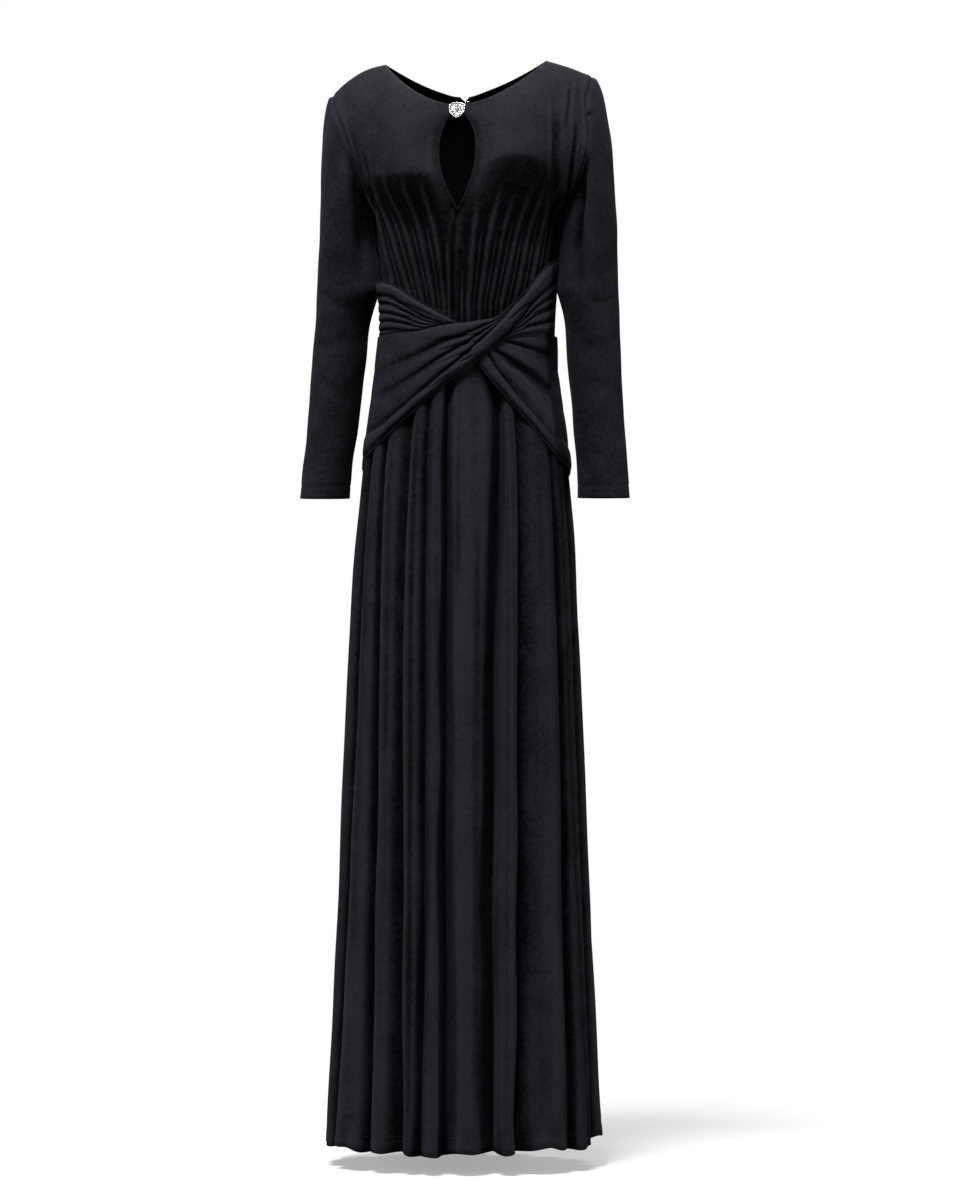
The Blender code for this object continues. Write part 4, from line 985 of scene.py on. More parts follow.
def bodice_back(side, cloth, count=96, high_rows=60, low_rows=46):
    """One half of the bodice back, from neckline and shoulder seam to the waist seam."""
    sign = -1 if side == "right" else 1
    low_z = np.linspace(BUST_Z, WAIST_Z + SEAM_GAP / 2, low_rows + 1)[1:]
    down = np.linspace(0, 1, high_rows)
    marks = [-0.0415, -0.0520, -0.0640, -0.0950, -0.1350, -0.1750, BUST_Z]
    high_z = np.interp(down, np.linspace(0, 1, 7), marks)
    across = np.linspace(0, 1, count)

    def columns(z):
        seam = seam_angle(side, z) + sign * 0.08
        from_middle = centre_edge(z)[0] - look_up(FORM, "shift", z)
        middle = sign * 180.0 + np.degrees(-from_middle / look_up(FORM, "side", z))
        return middle + (seam - middle) * across

    def centre_edge(z):
        return look_up(CENTRE_BACK, "x", z) + sign * SEAM_GAP / 2, look_up(CENTRE_BACK, "y", z), z

    grid = bodice_grid(side, False, columns, centre_edge, across, down, high_z, low_z)
    beside = np.abs(grid[..., 0] - look_up(CENTRE_BACK, "x", grid[..., 2]))
    half = NOTCH_WIDTH / 2 * np.clip(1 - (BACK_NECK_Z - grid[..., 2]) / NOTCH_DEPTH, 0, 1) ** 0.6
    grid[..., 0] += sign * half * np.clip(1 - beside / NOTCH_EASE, 0, 1)
    to_centre, to_side = from_sides(grid)
    to_top = from_edge(grid, 1)
    notch = grid[:1, :, 2] > BACK_NECK_Z - NOTCH_DEPTH
    neck = (across < NECK_SHARE)[:, None]
    detail = np.where(notch, rolled(to_centre), seamed(to_centre))
    detail = detail + np.where(neck, rolled(to_top, 0.0007, 0.0030), seamed(to_top, 0.0008))
    detail = detail + seamed(to_side, 0.0014 - 0.0010 * step(grid[..., 2], -0.180, -0.206))
    side_length = look_up(FORM, "side", np.minimum(grid[..., 2], FORM["z"][0]))
    back_length = look_up(FORM, "back", np.minimum(grid[..., 2], FORM["z"][0]))
    turn = np.degrees(np.arctan2(grid[..., 0] / side_length, -grid[..., 1] / back_length)) % 360
    free = step(to_side, 0.0, 0.008) * step(to_top, 0.0, 0.010)
    soft = gathers_over(turn, grid[..., 2], BACK_GATHERS)
    detail = detail + (soft - 0.0006 * step(grid[..., 2], -0.24, -0.33)) * free
    apart = step(to_centre, 0.0, 0.02) * step(to_side, 0.0, 0.05)
    detail = detail + 0.0011 * rolling(grid, 0.085, 2.4 * sign) * free * apart
    return bodice_cloth(side, False, grid, detail, across, low_z, cloth)


def sleeve_ring(side, z, turns):
    """Level ring of a sleeve; turn 0 is on the outer side and a quarter turn is at the front."""
    outer = look_up(SLEEVE, side + "_out", z)
    inner = look_up(SLEEVE, side + "_in", z)
    x = (outer + inner) / 2 + (outer - inner) / 2 * np.cos(turns)
    y = look_up(SLEEVE, "middle", z) - look_up(SLEEVE, "half", z) * np.sin(turns)
    return points(x, y, z + 0 * turns)


def sleeve(side, cloth, half_count=56, cap_rows=46, arm_rows=104):
    """Set-in sleeve from the armhole to the open cuff."""
    sign = -1 if side == "right" else 1
    front, back = armhole(side, half_count + 1)
    loop = np.concatenate((front, back[-2:0:-1]))
    seam_outward = armhole_outward(side, loop)
    along = np.roll(loop, -1, axis=0) - np.roll(loop, 1, axis=0)
    away = unit(np.cross(along, seam_outward)) * -sign
    start = loop + away * SEAM_GAP
    there = np.linspace(0, np.pi, half_count + 1)
    turns = np.concatenate((there, np.pi + there[1:-1]))
    first = sleeve_ring(side, CAP_END_Z, turns)
    onward = sleeve_ring(side, CAP_END_Z - CAP_RING_STEP, turns) - first
    under = (1 - np.cos(turns)) / 2
    spread = CAP_SPREAD[side]
    aside = sign * (spread - (spread + 0.004) * under ** 0.6)
    leave = points(aside, 0 * under, -CAP_DROP - CAP_UNDERARM_DROP * under)
    reach = CAP_ARRIVE + (CAP_UNDERARM_ARRIVE - CAP_ARRIVE) * under
    arrive = onward / CAP_RING_STEP * reach[:, None]
    rows = []
    for t in np.linspace(0, 1, cap_rows):
        blend = start * (2 * t ** 3 - 3 * t ** 2 + 1) + leave * (t ** 3 - 2 * t ** 2 + t)
        blend = blend + first * (3 * t ** 2 - 2 * t ** 3) + arrive * (t ** 3 - t ** 2)
        rows.append(blend)
    arm_z = np.linspace(CAP_END_Z, CUFF_Z, arm_rows + 1)[1:]
    for z in arm_z:
        rows.append(sleeve_ring(side, z, turns))
    grid = np.stack(rows, axis=1)
    normals = -grid_normals(grid, closed=True)
    if side == "right":
        normals = -normals
    normals[:, 0] = seam_outward
    creases = SLEEVE_RIGHT_CREASES if side == "right" else SLEEVE_LEFT_CREASES
    to_top, to_cuff = from_ends(grid)
    free = step(to_top, 0.0, 0.005) * step(to_cuff, 0.010, 0.030)
    front_facing = step(-normals[..., 1], -0.1, 0.3)
    mirrored = grid * (1, -1, 1)
    behind = step(normals[..., 1], -0.1, 0.3)
    detail = seamed(to_top, 0.0016 - 0.0013 * step(loop[:, 2], -0.180, -0.206)[:, None])
    detail = detail - creased(grid, creases) * free * front_facing
    detail = detail - 0.8 * creased(mirrored, creases) * free * behind
    detail = detail + 0.0007 * rolling(grid, 0.070, 3.0 * sign) * free
    detail = detail - 0.0006 * np.exp(-((to_cuff - CUFF_STITCH) / 0.0012) ** 2)
    detail = detail + 0.0005 * np.exp(-((to_cuff - 0.0012) / 0.0018) ** 2)
    grid = grid + normals * detail[..., None]
    if side == "left":
        grid = grid[::-1]
        normals = normals[::-1]
    row = cap_rows + int(np.argmin(np.abs(arm_z - CUFF_Z - CUFF_STITCH)))
    stitch_lines.append((grid[:, row], normals[:, row], True))
    return walled("sleeve_" + side, grid, normals, cloth, closed=True)


def hem_wave(angle):
    """Slight rise and fall of the hem."""
    waves = 0.0022 * np.sin(np.radians(angle * 11)) + 0.0012 * np.sin(np.radians(angle * 4.3))
    waves = waves + 0.0013 * np.sin(np.radians(angle * 27))
    return waves + look_up(HEM_LIFT, "lift", angle, "angle")


def skirt(name, cloth, valleys, soft_folds, start_side, end_side, per_fold, rows):
    """Front or back of the skirt, from under the wraps at the waist seam to the hem."""
    share = np.linspace(0, 1, rows)
    heights = WAIST_Z - SEAM_GAP / 2 + (HEM_Z - WAIST_Z + SEAM_GAP / 2) * share

    def columns(z):
        start = seam_angle(start_side, z) + 0.08
        end = seam_angle(end_side, z) - 0.08
        if name == "skirt_back":
            end += 360
        centres = [smooth(z, VALLEY_Z, (f["high"], f["middle"], f["low"])) for f in valleys]
        return fold_columns(centres, per_fold, start, end)

    angles = np.array([columns(z) for z in heights]).T
    z = heights[None, :] + 0 * angles
    near_hem = step(z, HEM_Z + 0.070, HEM_Z)
    z = z + near_hem * hem_wave(angles)
    place = np.arange(len(angles)) % per_fold / per_fold
    grid = skirt_point(angles, z, valleys, soft_folds, place[:, None])
    outward = grid_normals(grid)
    outward[:, 0] = body_normal(angles[:, 0], z[:, 0])
    for i in (0, -1):
        outward[i] = body_normal(angles[i], z[i])
    to_start, to_end = from_sides(grid)
    to_hem = from_ends(grid)[1]
    ripple = 0.0022 * np.sin(np.radians(angles * 29)) * (0.55 + 0.45 * np.sin(np.radians(angles * 3.7)))
    detail = seamed(to_start) + seamed(to_end)
    detail = detail + ripple * step(to_hem, 0.045, 0.0)
    detail = detail - 0.0007 * np.exp(-((to_hem - HEM_STITCH) / 0.0030) ** 2)
    detail = detail + 0.0012 * rolling(grid * (1, 1, 0.25), 0.060, 0.7)
    grid = grid + outward * detail[..., None]
    row = int(np.argmin(np.abs(to_hem[0] - HEM_STITCH)))
    stitch_lines.append((grid[:, row], outward[:, row], False))
    return walled(name, grid, outward, cloth)


def lobes(share, creases):
    """Pleats side by side: 0 in each crease and 1 on each crown, fuller towards the upper side."""
    edges = np.concatenate(([0.0], creases, [1.0]))
    i = np.clip(np.searchsorted(edges, share, side="right") - 1, 0, len(edges) - 2)
    t = (share - edges[i]) / (edges[i + 1] - edges[i])
    return 1 - np.abs(2 * np.clip(t, 0, 1) ** 0.85 - 1) ** 2.6


def wrap_point(angle, row, edges, heights, creases):
    """Point of a wrap: row 0 to 1 is the fan under its band, 1 to 2 the band, 2 to 3 the fan over it."""
    lines = [look_up(edges, name, angle, "angle") for name in ("low", "band_low", "band_up", "high")]
    z = lines[0] + (lines[1] - lines[0]) * np.clip(row, 0, 1)
    z = z + (lines[2] - lines[1]) * np.clip(row - 1, 0, 1)
    z = z + (lines[3] - lines[2]) * np.clip(row - 2, 0, 1)
    level = (z - lines[0]) / (lines[3] - lines[0])
    lift_low = look_up(heights, "lift_low", angle, "angle")
    lift_high = look_up(heights, "lift_high", angle, "angle")
    lift = lift_low + (lift_high - lift_low) * level
    band = look_up(heights, "band", angle, "angle")
    round_band = band * (1 - np.abs(2 * np.clip(row - 1, 0, 1) - 1) ** 3.5)
    below = look_up(heights, "lower_fan", angle, "angle") * lobes(np.clip(row, 0, 1), creases["lower"])
    above = look_up(heights, "upper_fan", angle, "angle") * lobes(np.clip(row - 2, 0, 1), creases["upper"])
    raised = np.where(row < 1, below, np.where(row > 2, above, round_band))
    if edges is UNDER_WRAP:
        raised = raised * (0.2 + 0.8 * clear_of_over(angle, z))
    return body(angle, z, lift + WALL + raised)


def clear_of_over(angle, z):
    """1 where the wrap beneath is clear of the wrap on top, and 0 under it."""
    over_high = look_up(OVER_WRAP, "high", angle, "angle")
    over_low = look_up(OVER_WRAP, "low", angle, "angle")
    above_it = step(z, over_high + 0.0005, over_high + 0.005)
    below_it = step(z, over_low - 0.001, over_low - 0.007)
    return np.maximum(above_it, below_it)


def fan_rows(creases, band_rows=16, pleat_rows=11):
    """Rows of a wrap's grid: a number in each pleat, and across the band."""
    rows = []
    for base, marks in ((0, creases["lower"]), (2, creases["upper"])):
        edges = (0.0,) + tuple(marks) + (1.0,)
        fan = []
        count = pleat_rows if marks else 3
        for a, b in zip(edges[:-1], edges[1:]):
            fan += [base + a + (b - a) * k / count for k in range(count)]
        fan.append(base + 1.0)
        rows.append(fan)
    band = [1 + k / band_rows for k in range(1, band_rows)]
    return np.array(rows[0] + band + rows[1])


def wrap(name, cloth, edges, heights, creases, drawn, angles):
    """Folded and pleated wrap of the waist, sewn in at both side seams."""
    rows = fan_rows(creases)[::-1]
    angle, row = np.meshgrid(angles, rows, indexing="ij")
    rough = wrap_point(angle, row, edges, heights, creases)
    first = end_angles(rough[0, :, 2], name, 0)
    last = end_angles(rough[-1, :, 2], name, -1)
    share = ((angles - angles[0]) / (angles[-1] - angles[0]))[:, None]
    low_angle = first[None, :] + (last - first)[None, :] * share
    near_ends = np.clip(1 - 6 * np.minimum(share, 1 - share), 0, 1)
    angle = angle * (1 - near_ends) + low_angle * near_ends
    grid = wrap_point(angle, row, edges, heights, creases)
    outward = grid_normals(grid)
    outward[0] = body_normal(first, grid[0, :, 2])
    outward[-1] = body_normal(last, grid[-1, :, 2])
    to_start, to_end = from_sides(grid)
    free = step(to_start, 0.0, 0.006) * step(to_end, 0.0, 0.006)
    if name == "wrap_under":
        free = free * clear_of_over(angle, grid[..., 2])
    detail = -creased(grid, drawn) * free
    detail = detail + 0.0004 * rolling(grid, 0.045, 4.0) * free
    in_band = step(row, 0.98, 1.15) * step(row, 2.02, 1.85)
    detail = detail + 0.0004 * in_band * np.sin(grid[..., 0] * 160.0 + row * 2.0) * free
    grid = grid + outward * detail[..., None]
    return walled(name, grid, outward, cloth)


def end_angles(z, name, end):
    """Angles at which a wrap's end follows the side seam."""
    if name == "wrap_back":
        side = "left" if end == 0 else "right"
        away = 0.10 if end == 0 else 359.90
    else:
        side = "right" if end == 0 else "left"
        away = 0.10 if end == 0 else -0.10
    return seam_angle(side, z) + away


def stitches(lines, thread):
    """Rows of small stitches along the cuffs and the hem."""
    stations = ((0.0, 0.35, -0.4), (0.2, 1.0, 0.5), (0.8, 1.0, 0.5), (1.0, 0.35, -0.4))
    sides = 5
    vertices = []
    faces = []
    for line, normals, closed in lines:
        if closed:
            line = np.concatenate((line, line[:1]))
            normals = np.concatenate((normals, normals[:1]))
        passed = np.concatenate(([0.0], np.cumsum(np.linalg.norm(np.diff(line, axis=0), axis=1))))
        for start in np.arange(STITCH_PITCH, passed[-1] - STITCH_PITCH, STITCH_PITCH):
            first = np.array([np.interp(start, passed, line[:, k]) for k in range(3)])
            last = np.array([np.interp(start + STITCH_LENGTH, passed, line[:, k]) for k in range(3)])
            out = unit(np.array([np.interp(start, passed, normals[:, k]) for k in range(3)]))
            ahead = unit(last - first)
            side = np.cross(out, ahead)
            base = len(vertices)
            for share, thick, lift in stations:
                at = first + (last - first) * share + out * STITCH_RADIUS * lift
                for turn in np.arange(sides) * 2 * np.pi / sides:
                    ring = out * np.sin(turn) + side * np.cos(turn)
                    vertices.append(at + ring * STITCH_RADIUS * thick)
            for ring in range(3):
                for k in range(sides):
                    a = base + ring * sides + k
                    b = base + ring * sides + (k + 1) % sides
                    faces.append((a, b, b + sides, a + sides))
    piece = add_mesh("stitching", vertices, faces, [thread])
    return piece


def node(tree, kind, **settings):
    """New shader node with its settings and inputs."""
    return feed(tree, tree.nodes.new(kind), **settings)


def feed(tree, made, **settings):
    """Give a node its settings and inputs: A, B and C are the first three, and a node or socket is linked."""
    for name, value in settings.items():
        label = name.replace("_", " ")
        if name in ("A", "B", "C"):
            socket = made.inputs["ABC".index(name)]
        elif label in made.inputs:
            socket = made.inputs[label]
        else:
            setattr(made, name, value)
            continue
        if isinstance(value, bpy.types.Node):
            value = value.outputs[0]
        if isinstance(value, bpy.types.NodeSocket):
            tree.links.new(value, socket)
        else:
            socket.default_value = value
    return made


def noise(tree, scale, detail, roughness):
    """Uneven pattern that lies fast on the piece."""
    place = node(tree, "ShaderNodeTexCoord").outputs["Object"]
    return node(
        tree, "ShaderNodeTexNoise", Vector=place, Scale=scale, Detail=detail, Roughness=roughness)


def blend(tree, share, start, first, last):
    """Colour that goes from one to another."""
    made = node(tree, "ShaderNodeValToRGB", Fac=share)
    made.color_ramp.elements[0].position = start
    made.color_ramp.elements[0].color = first
    made.color_ramp.elements[1].color = last
    return made


def new_material(name):
    """New material, with its node tree and its shader."""
    material = bpy.data.materials.new(name)
    material.use_nodes = True
    return material, material.node_tree, material.node_tree.nodes["Principled BSDF"]


def velvet_material(name, dark, light, sheen, tint, roughness, gloss):
    """Stretch velvet: short uneven pile over a fine knit, its colour lightened and darkened by painted light
    and shade.
    """
    material, tree, shader = new_material(name)
    pile = noise(tree, 620.0, 3.0, 0.6)
    mottle = noise(tree, 170.0, 3.0, 0.55)
    crush = noise(tree, 26.0, 4.0, 0.55)
    grain = noise(tree, 430.0, 2.0, 0.7)
    crushed = node(tree, "ShaderNodeMath", operation="MULTIPLY", A=crush, B=0.60)
    both = node(tree, "ShaderNodeMath", operation="MULTIPLY_ADD", A=mottle, B=0.80, C=crushed)
    grained = node(tree, "ShaderNodeMath", operation="MULTIPLY_ADD", A=grain, B=0.55, C=both)
    # Painted light and shade from the 'pile' attribute, added to the random tone of the noises.
    painted_shading = node(tree, "ShaderNodeAttribute", attribute_name="pile").outputs["Fac"]
    joined = node(tree, "ShaderNodeMath", operation="ADD", A=painted_shading, B=grained)
    scaled = node(tree, "ShaderNodeMapRange", Value=joined, From_Max=1.95)
    colour = blend(tree, scaled, 0.54, dark, light)
    low = roughness - 0.10
    high = min(roughness + 0.12, 1.0)
    rough = node(tree, "ShaderNodeMapRange", Value=both, To_Min=low, To_Max=high)
    fine = node(tree, "ShaderNodeBump", Strength=0.55, Distance=0.0006, Height=pile)
    coarse = node(tree, "ShaderNodeBump", Strength=0.45, Distance=0.0010, Height=both, Normal=fine)
    feed(tree, shader, Base_Color=colour, Roughness=rough, Normal=coarse)
    feed(tree, shader, Sheen_Weight=sheen, Sheen_Roughness=0.45, Sheen_Tint=tint)
    feed(tree, shader, Specular_IOR_Level=gloss)
    return material


def metal_material(name, colour, roughness):
    """Polished metal with fine wear."""
    material, tree, shader = new_material(name)
    wear = noise(tree, 900.0, 4.0, 0.6)
    low = roughness * 0.6
    high = roughness * 1.5
    rough = node(tree, "ShaderNodeMapRange", Value=wear, To_Min=low, To_Max=high)
    bump = node(tree, "ShaderNodeBump", Strength=0.15, Distance=0.0001, Height=wear)
    feed(tree, shader, Base_Color=colour, Metallic=1.0, Roughness=rough, Normal=bump)
    return material


def stone_material(name):
    """Clear crystal with a silver foil behind it."""
    material, tree, shader = new_material(name)
    place = node(tree, "ShaderNodeTexCoord").outputs["Object"]
    fire = node(tree, "ShaderNodeTexVoronoi", Vector=place, Scale=420.0)
    colour = blend(tree, fire, 0.0, (0.30, 0.30, 0.33, 1.0), (0.90, 0.90, 0.93, 1.0))
    feed(tree, shader, Base_Color=colour, Metallic=0.80, Roughness=0.10, IOR=1.6)
    feed(tree, shader, Coat_Weight=0.5, Coat_Roughness=0.02)
    return material


def brooch_place(x, z, forward):
    """Point of the brooch from its own centre: across, up its tilted face and forward of its back."""
    tilt = math.radians(BROOCH_TILT)
    back_y = float(look_up(CENTRE_FRONT, "y", BROOCH_CENTRE[1])) - SEAM_GAP - BROOCH_STAND
    y = back_y - forward * math.cos(tilt) + z * math.sin(tilt)
    return BROOCH_CENTRE[0] + x, y, BROOCH_CENTRE[1] + z * math.cos(tilt) + forward * math.sin(tilt)


def brooch_outline(scale):
    """Corners of the shield shape, clockwise from the top."""
    upper = ((0.0, 0.50), (0.30, 0.47), (0.50, 0.34), (0.50, 0.05))
    lower = ((0.46, -0.14), (0.24, -0.36), (0.0, -0.50))
    right = [(x * BROOCH_WIDTH * scale, z * BROOCH_HEIGHT * scale) for x, z in upper + lower]
    return right + [(-x, z) for x, z in right[-2:0:-1]]


def between_rings(base, sides, rings, capped=False):
    """Triangles between rings of points that follow each other, and over the last one."""
    faces = []
    for ring in range(rings - 1):
        for k in range(sides):
            a = base + ring * sides
            b = a + (k + 1) % sides
            faces.append((b, a + k, a + sides + k))
            faces.append((b, a + sides + k, b + sides))
    if capped:
        top = base + (rings - 1) * sides
        faces += [(top, top + k + 1, top + k) for k in range(1, sides - 1)]
    return faces


def brooch(silver, stones):
    """Shield-shaped setting with a rim, set with small cut stones round a larger one."""
    loops = ((1.0, 0.0), (1.0, 0.0020), (0.97, 0.0026), (0.93, 0.0026), (0.91, 0.0019), (0.0, 0.0019))
    count = len(brooch_outline(1.0))
    vertices = [brooch_place(0, 0, 0)]
    faces = [(0, 1 + k, 1 + (k + 1) % count) for k in range(count)]
    for scale, forward in loops:
        vertices += [brooch_place(x, z, forward) for x, z in brooch_outline(max(scale, 0.001))]
    faces += between_rings(1, count, len(loops))
    setting = add_mesh("brooch_setting", vertices, faces, [silver], smooth_faces=False)
    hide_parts("brooch")

    seats = [(0.0, 0.0004, 0.0038)]
    for k in range(9):
        turn = 2 * math.pi * k / 9 + 0.17
        seats.append((0.0062 * math.sin(turn), 0.0004 + 0.0064 * math.cos(turn), 0.0019))
    rim = brooch_outline(0.84)
    for k in range(len(rim)):
        a = np.array(rim[k])
        b = np.array(rim[(k + 1) % len(rim)])
        pieces = max(1, round(float(np.linalg.norm(b - a)) / 0.0030))
        for share in range(pieces):
            at = a + (b - a) * share / pieces
            seats.append((float(at[0]), float(at[1]), 0.0014))
    vertices = []
    faces = []
    prongs = []
    sides = 8
    for number, (x, z, radius) in enumerate(seats):
        base = len(vertices)
        rings = ((1.0, 0.0018), (1.0, 0.0021 + 0.10 * radius), (0.55, 0.0021 + 0.62 * radius))
        for ring, (scale, forward) in enumerate(rings):
            for k in range(sides):
                turn = 2 * math.pi * (k + 0.5 * (ring == 2)) / sides + number * 0.7
                reach = radius * scale
                vertices.append(brooch_place(x + reach * math.sin(turn), z + reach * math.cos(turn), forward))
        faces += between_rings(base, sides, len(rings), capped=True)
        for k in range(4):
            turn = 2 * math.pi * k / 4 + 0.6 + number
            prongs.append((x + radius * math.sin(turn), z + radius * math.cos(turn), radius))
    gems = add_mesh("brooch_stones", vertices, faces, [stones], smooth_faces=False)
    beads(prongs, silver)


def beads(seats, silver):
    """Small round prongs that hold the stones."""
    vertices = []
    faces = []
    for x, z, radius in seats:
        base = len(vertices)
        size = 0.00030 + 0.03 * radius
        for height, reach in ((0.0, 1.0), (0.6, 0.85), (1.0, 0.35)):
            for k in range(6):
                turn = 2 * math.pi * k / 6
                across = size * reach * math.sin(turn)
                up = size * reach * math.cos(turn)
                vertices.append(brooch_place(x + across, z + up, 0.0019 + 0.30 * radius + size * height))
        faces += between_rings(base, 6, 3, capped=True)
    piece = add_mesh("brooch_prongs", vertices, faces, [silver])


def tube(name, course, radius, material, sides=8):
    """Round wire along a course of points."""
    line = np.array(course, float)
    ahead = unit(np.gradient(line, axis=0))
    side = unit(np.cross(ahead, np.array((0.0, 1.0, 0.25))))
    up = np.cross(side, ahead)
    vertices = []
    faces = []
    for at, a, b in zip(line, side, up):
        for k in range(sides):
            turn = 2 * math.pi * k / sides
            vertices.append(at + radius * (a * math.cos(turn) + b * math.sin(turn)))
    for ring in range(len(line) - 1):
        for k in range(sides):
            n = (k + 1) % sides
            a = ring * sides
            faces.append((a + k, a + n, a + sides + n, a + sides + k))
    start = len(vertices)
    last = start - sides
    for k in range(sides):
        n = (k + 1) % sides
        faces.append((start, n, k))
        faces.append((start + 1, last + k, last + n))
    return add_mesh(name, vertices + [line[0], line[-1]], faces, [material])


def hook_and_eye(steel):
    """Wire hook and loop that close the notch at the back of the neck."""
    z = BACK_NECK_Z - 0.0062
    y = float(look_up(CENTRE_BACK, "y", z)) - WALL - 0.0004
    x = float(look_up(CENTRE_BACK, "x", z)) + 0.0024
    turns = np.linspace(0.35 * math.pi, 1.65 * math.pi, 15)
    loop = [(x - 0.0018 - 0.0021 * math.cos(t), y, z + 0.0013 * math.sin(t)) for t in turns]
    bar = [(x + 0.0004 + 0.0038 * s, y + 0.0003, z + 0.0004) for s in np.linspace(0, 1, 6)]
    bend = [(x + 0.0004 - 0.0009 * math.sin(t), y + 0.0003 - 0.0006 * (1 - math.cos(t)), z + 0.0004)
            for t in np.linspace(0.2, math.pi, 8)]
    eye = tube("neck_eye", loop, EYE_WIRE / 2, steel)
    hook = tube("neck_hook", bar[::-1] + bend, HOOK_WIRE / 2, steel)
    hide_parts("back_neck_hook")


def stage(floor_z):
    """Plain pale floor that goes over into the pale surroundings and throws little light back."""
    mesh = bpy.data.meshes.new("floor")
    reach = 14.0
    corners = [(x * reach, y * reach, floor_z) for x, y in ((-1, -1), (1, -1), (1, 1), (-1, 1))]
    mesh.from_pydata(corners, [], [(0, 1, 2, 3)])
    floor = bpy.data.objects.new("floor", mesh)
    bpy.context.scene.collection.objects.link(floor)
    material, tree, shader = new_material("floor_paper")
    feed(tree, shader, Base_Color=(0.93, 0.93, 0.93, 1.0), Roughness=0.9, Specular_IOR_Level=0.0)
    white = node(tree, "ShaderNodeEmission", Color=(1.0, 1.0, 1.0, 1.0), Strength=1.0)
    grey = (FLOOR_BOUNCE, FLOOR_BOUNCE, FLOOR_BOUNCE, 1.0)
    dim = node(tree, "ShaderNodeBsdfDiffuse", Color=grey)
    place = node(tree, "ShaderNodeTexCoord").outputs["Object"]
    length = node(tree, "ShaderNodeVectorMath", operation="LENGTH", A=place).outputs["Value"]
    far = node(
        tree, "ShaderNodeMapRange", interpolation_type="SMOOTHSTEP",
        Value=length, From_Min=1.0, From_Max=2.4)
    shown = node(tree, "ShaderNodeMixShader", A=far, B=shader, C=white)
    path = node(tree, "ShaderNodeLightPath").outputs["Is Camera Ray"]
    mixed = node(tree, "ShaderNodeMixShader", A=path, B=dim, C=shown)
    feed(tree, tree.nodes["Material Output"], Surface=mixed)
    mesh.materials.append(material)


def surroundings(strength):
    """Even pale surroundings, white to the eye."""
    world = bpy.data.worlds.new("studio")
    bpy.context.scene.world = world
    world.use_nodes = True
    tree = world.node_tree
    shown = feed(tree, tree.nodes["Background"], Color=(1.0, 1.0, 1.0, 1.0), Strength=1.0)
    lit = node(tree, "ShaderNodeBackground", Color=(0.96, 0.97, 1.0, 1.0), Strength=strength)
    path = node(tree, "ShaderNodeLightPath").outputs["Is Camera Ray"]
    mixed = node(tree, "ShaderNodeMixShader", A=path, B=lit, C=shown)
    feed(tree, tree.nodes["World Output"], Surface=mixed)


def lamp(name, at, aim, size, power):
    """Large soft lamp aimed at a point."""
    light = bpy.data.lights.new(name, "AREA")
    light.shape = "RECTANGLE"
    light.size = size[0]
    light.size_y = size[1]
    light.energy = power
    piece = bpy.data.objects.new(name, light)
    piece.location = at
    piece.rotation_mode = "QUATERNION"
    piece.rotation_quaternion = (Vector(aim) - Vector(at)).to_track_quat("-Z", "Y")
    bpy.context.scene.collection.objects.link(piece)


def camera():
    """Camera at the picture's angle."""
    turn = math.radians(VIEW_AZIMUTH)
    right = Vector((math.cos(turn), math.sin(turn), 0.0))
    back = Vector((math.sin(turn), -math.cos(turn), 0.0))
    target = right * VIEW_SHIFT + Vector((0.0, 0.0, EYE_Z))
    data = bpy.data.cameras.new("camera")
    data.sensor_width = 36.0
    data.lens = LENS
    piece = bpy.data.objects.new("camera", data)
    piece.location = target + back * VIEW_DISTANCE
    piece.rotation_mode = "QUATERNION"
    piece.rotation_quaternion = (-back).to_track_quat("-Z", "Y")
    bpy.context.scene.collection.objects.link(piece)
    bpy.context.scene.camera = piece


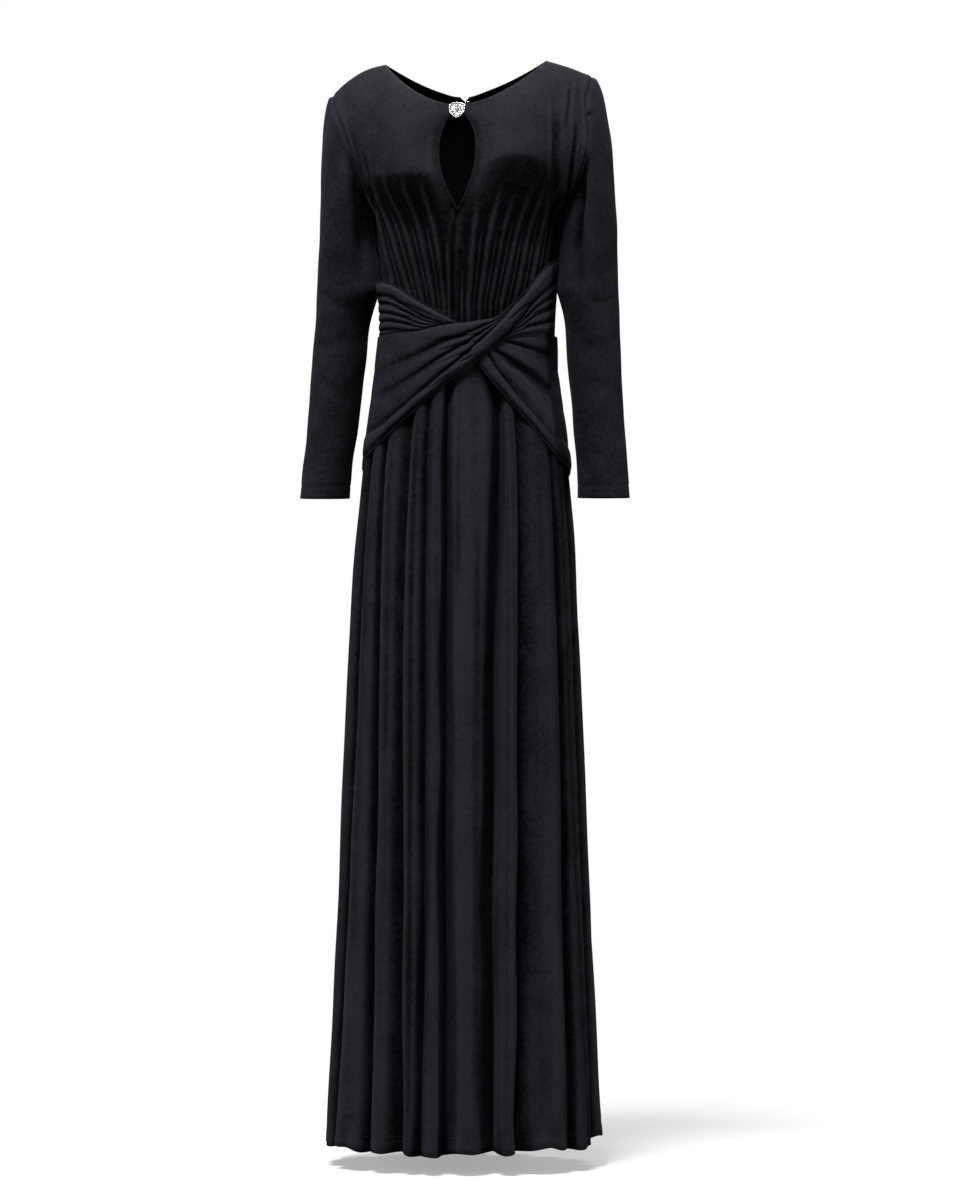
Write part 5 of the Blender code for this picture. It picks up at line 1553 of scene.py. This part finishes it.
stitch_lines = []
pile_side = velvet_material(
    "velvet_pile", (0.0010, 0.0010, 0.0013, 1.0), (0.0200, 0.0192, 0.0250, 1.0),
    0.05, (0.55, 0.52, 0.68, 1.0), 0.66, 0.03)
# Reverse of the cloth: its own black, made darker still as painted shade for the inside of the dress.
knit_side = velvet_material(
    "velvet_reverse", (0.0006, 0.0006, 0.0008, 1.0), (0.0014, 0.0014, 0.0018, 1.0),
    0.0, (0.30, 0.30, 0.36, 1.0), 0.85, 0.02)
cloth = [pile_side, knit_side]
silver = metal_material("brooch_silver", (0.86, 0.86, 0.88, 1.0), 0.16)
steel = metal_material("hook_steel", (0.62, 0.62, 0.64, 1.0), 0.28)
stones = stone_material("clear_stones")
thread = velvet_material(
    "thread", (0.0100, 0.0095, 0.0130, 1.0), (0.0200, 0.0190, 0.0240, 1.0),
    0.30, (0.5, 0.5, 0.6, 1.0), 0.60, 0.20)

for side in ("right", "left"):
    bodice_front(side, cloth)
    bodice_back(side, cloth)
    sleeve(side, cloth)
skirt(
    "skirt_front", cloth, FRONT_VALLEYS, FRONT_SOFT, "right", "left", per_fold=42, rows=110)
skirt(
    "skirt_back", cloth, BACK_VALLEYS, BACK_SOFT, "left", "right", per_fold=28, rows=100)
front_angles = np.linspace(-79, 69, 210)
wrap(
    "wrap_over", cloth, OVER_WRAP, OVER_HEIGHTS, OVER_CREASES, OVER_WRAP_CREASES, front_angles)
wrap(
    "wrap_under", cloth, UNDER_WRAP, UNDER_HEIGHTS, UNDER_CREASES, UNDER_WRAP_CREASES, front_angles)
wrap(
    "wrap_back", cloth, BACK_WRAP, BACK_HEIGHTS, BACK_CREASES, {}, np.linspace(69, 281, 170))
stitches(stitch_lines, thread)
brooch(silver, stones)
hook_and_eye(steel)

stage(HEM_Z - FLOOR_DROP)
surroundings(STUDIO_FILL)
lamp("overhead", (-0.8, -2.8, 5.2), (0.0, 0.0, -0.6), (2.0, 1.8), 600.0)
lamp("left", (-5.0, -1.4, -0.2), (0.0, 0.0, -0.9), (0.5, 2.4), 90.0)
lamp("right", (5.2, -0.9, -0.3), (0.0, 0.0, -0.9), (0.6, 2.4), 125.0)
lamp("front", (0.6, -6.2, -0.2), (0.0, 0.0, -0.8), (1.2, 2.0), 25.0)
lamp("back", (0.4, 3.4, 3.0), (0.0, 0.0, -0.5), (2.2, 1.6), 110.0)
camera()
bpy.context.scene.view_settings.view_transform = "Standard"
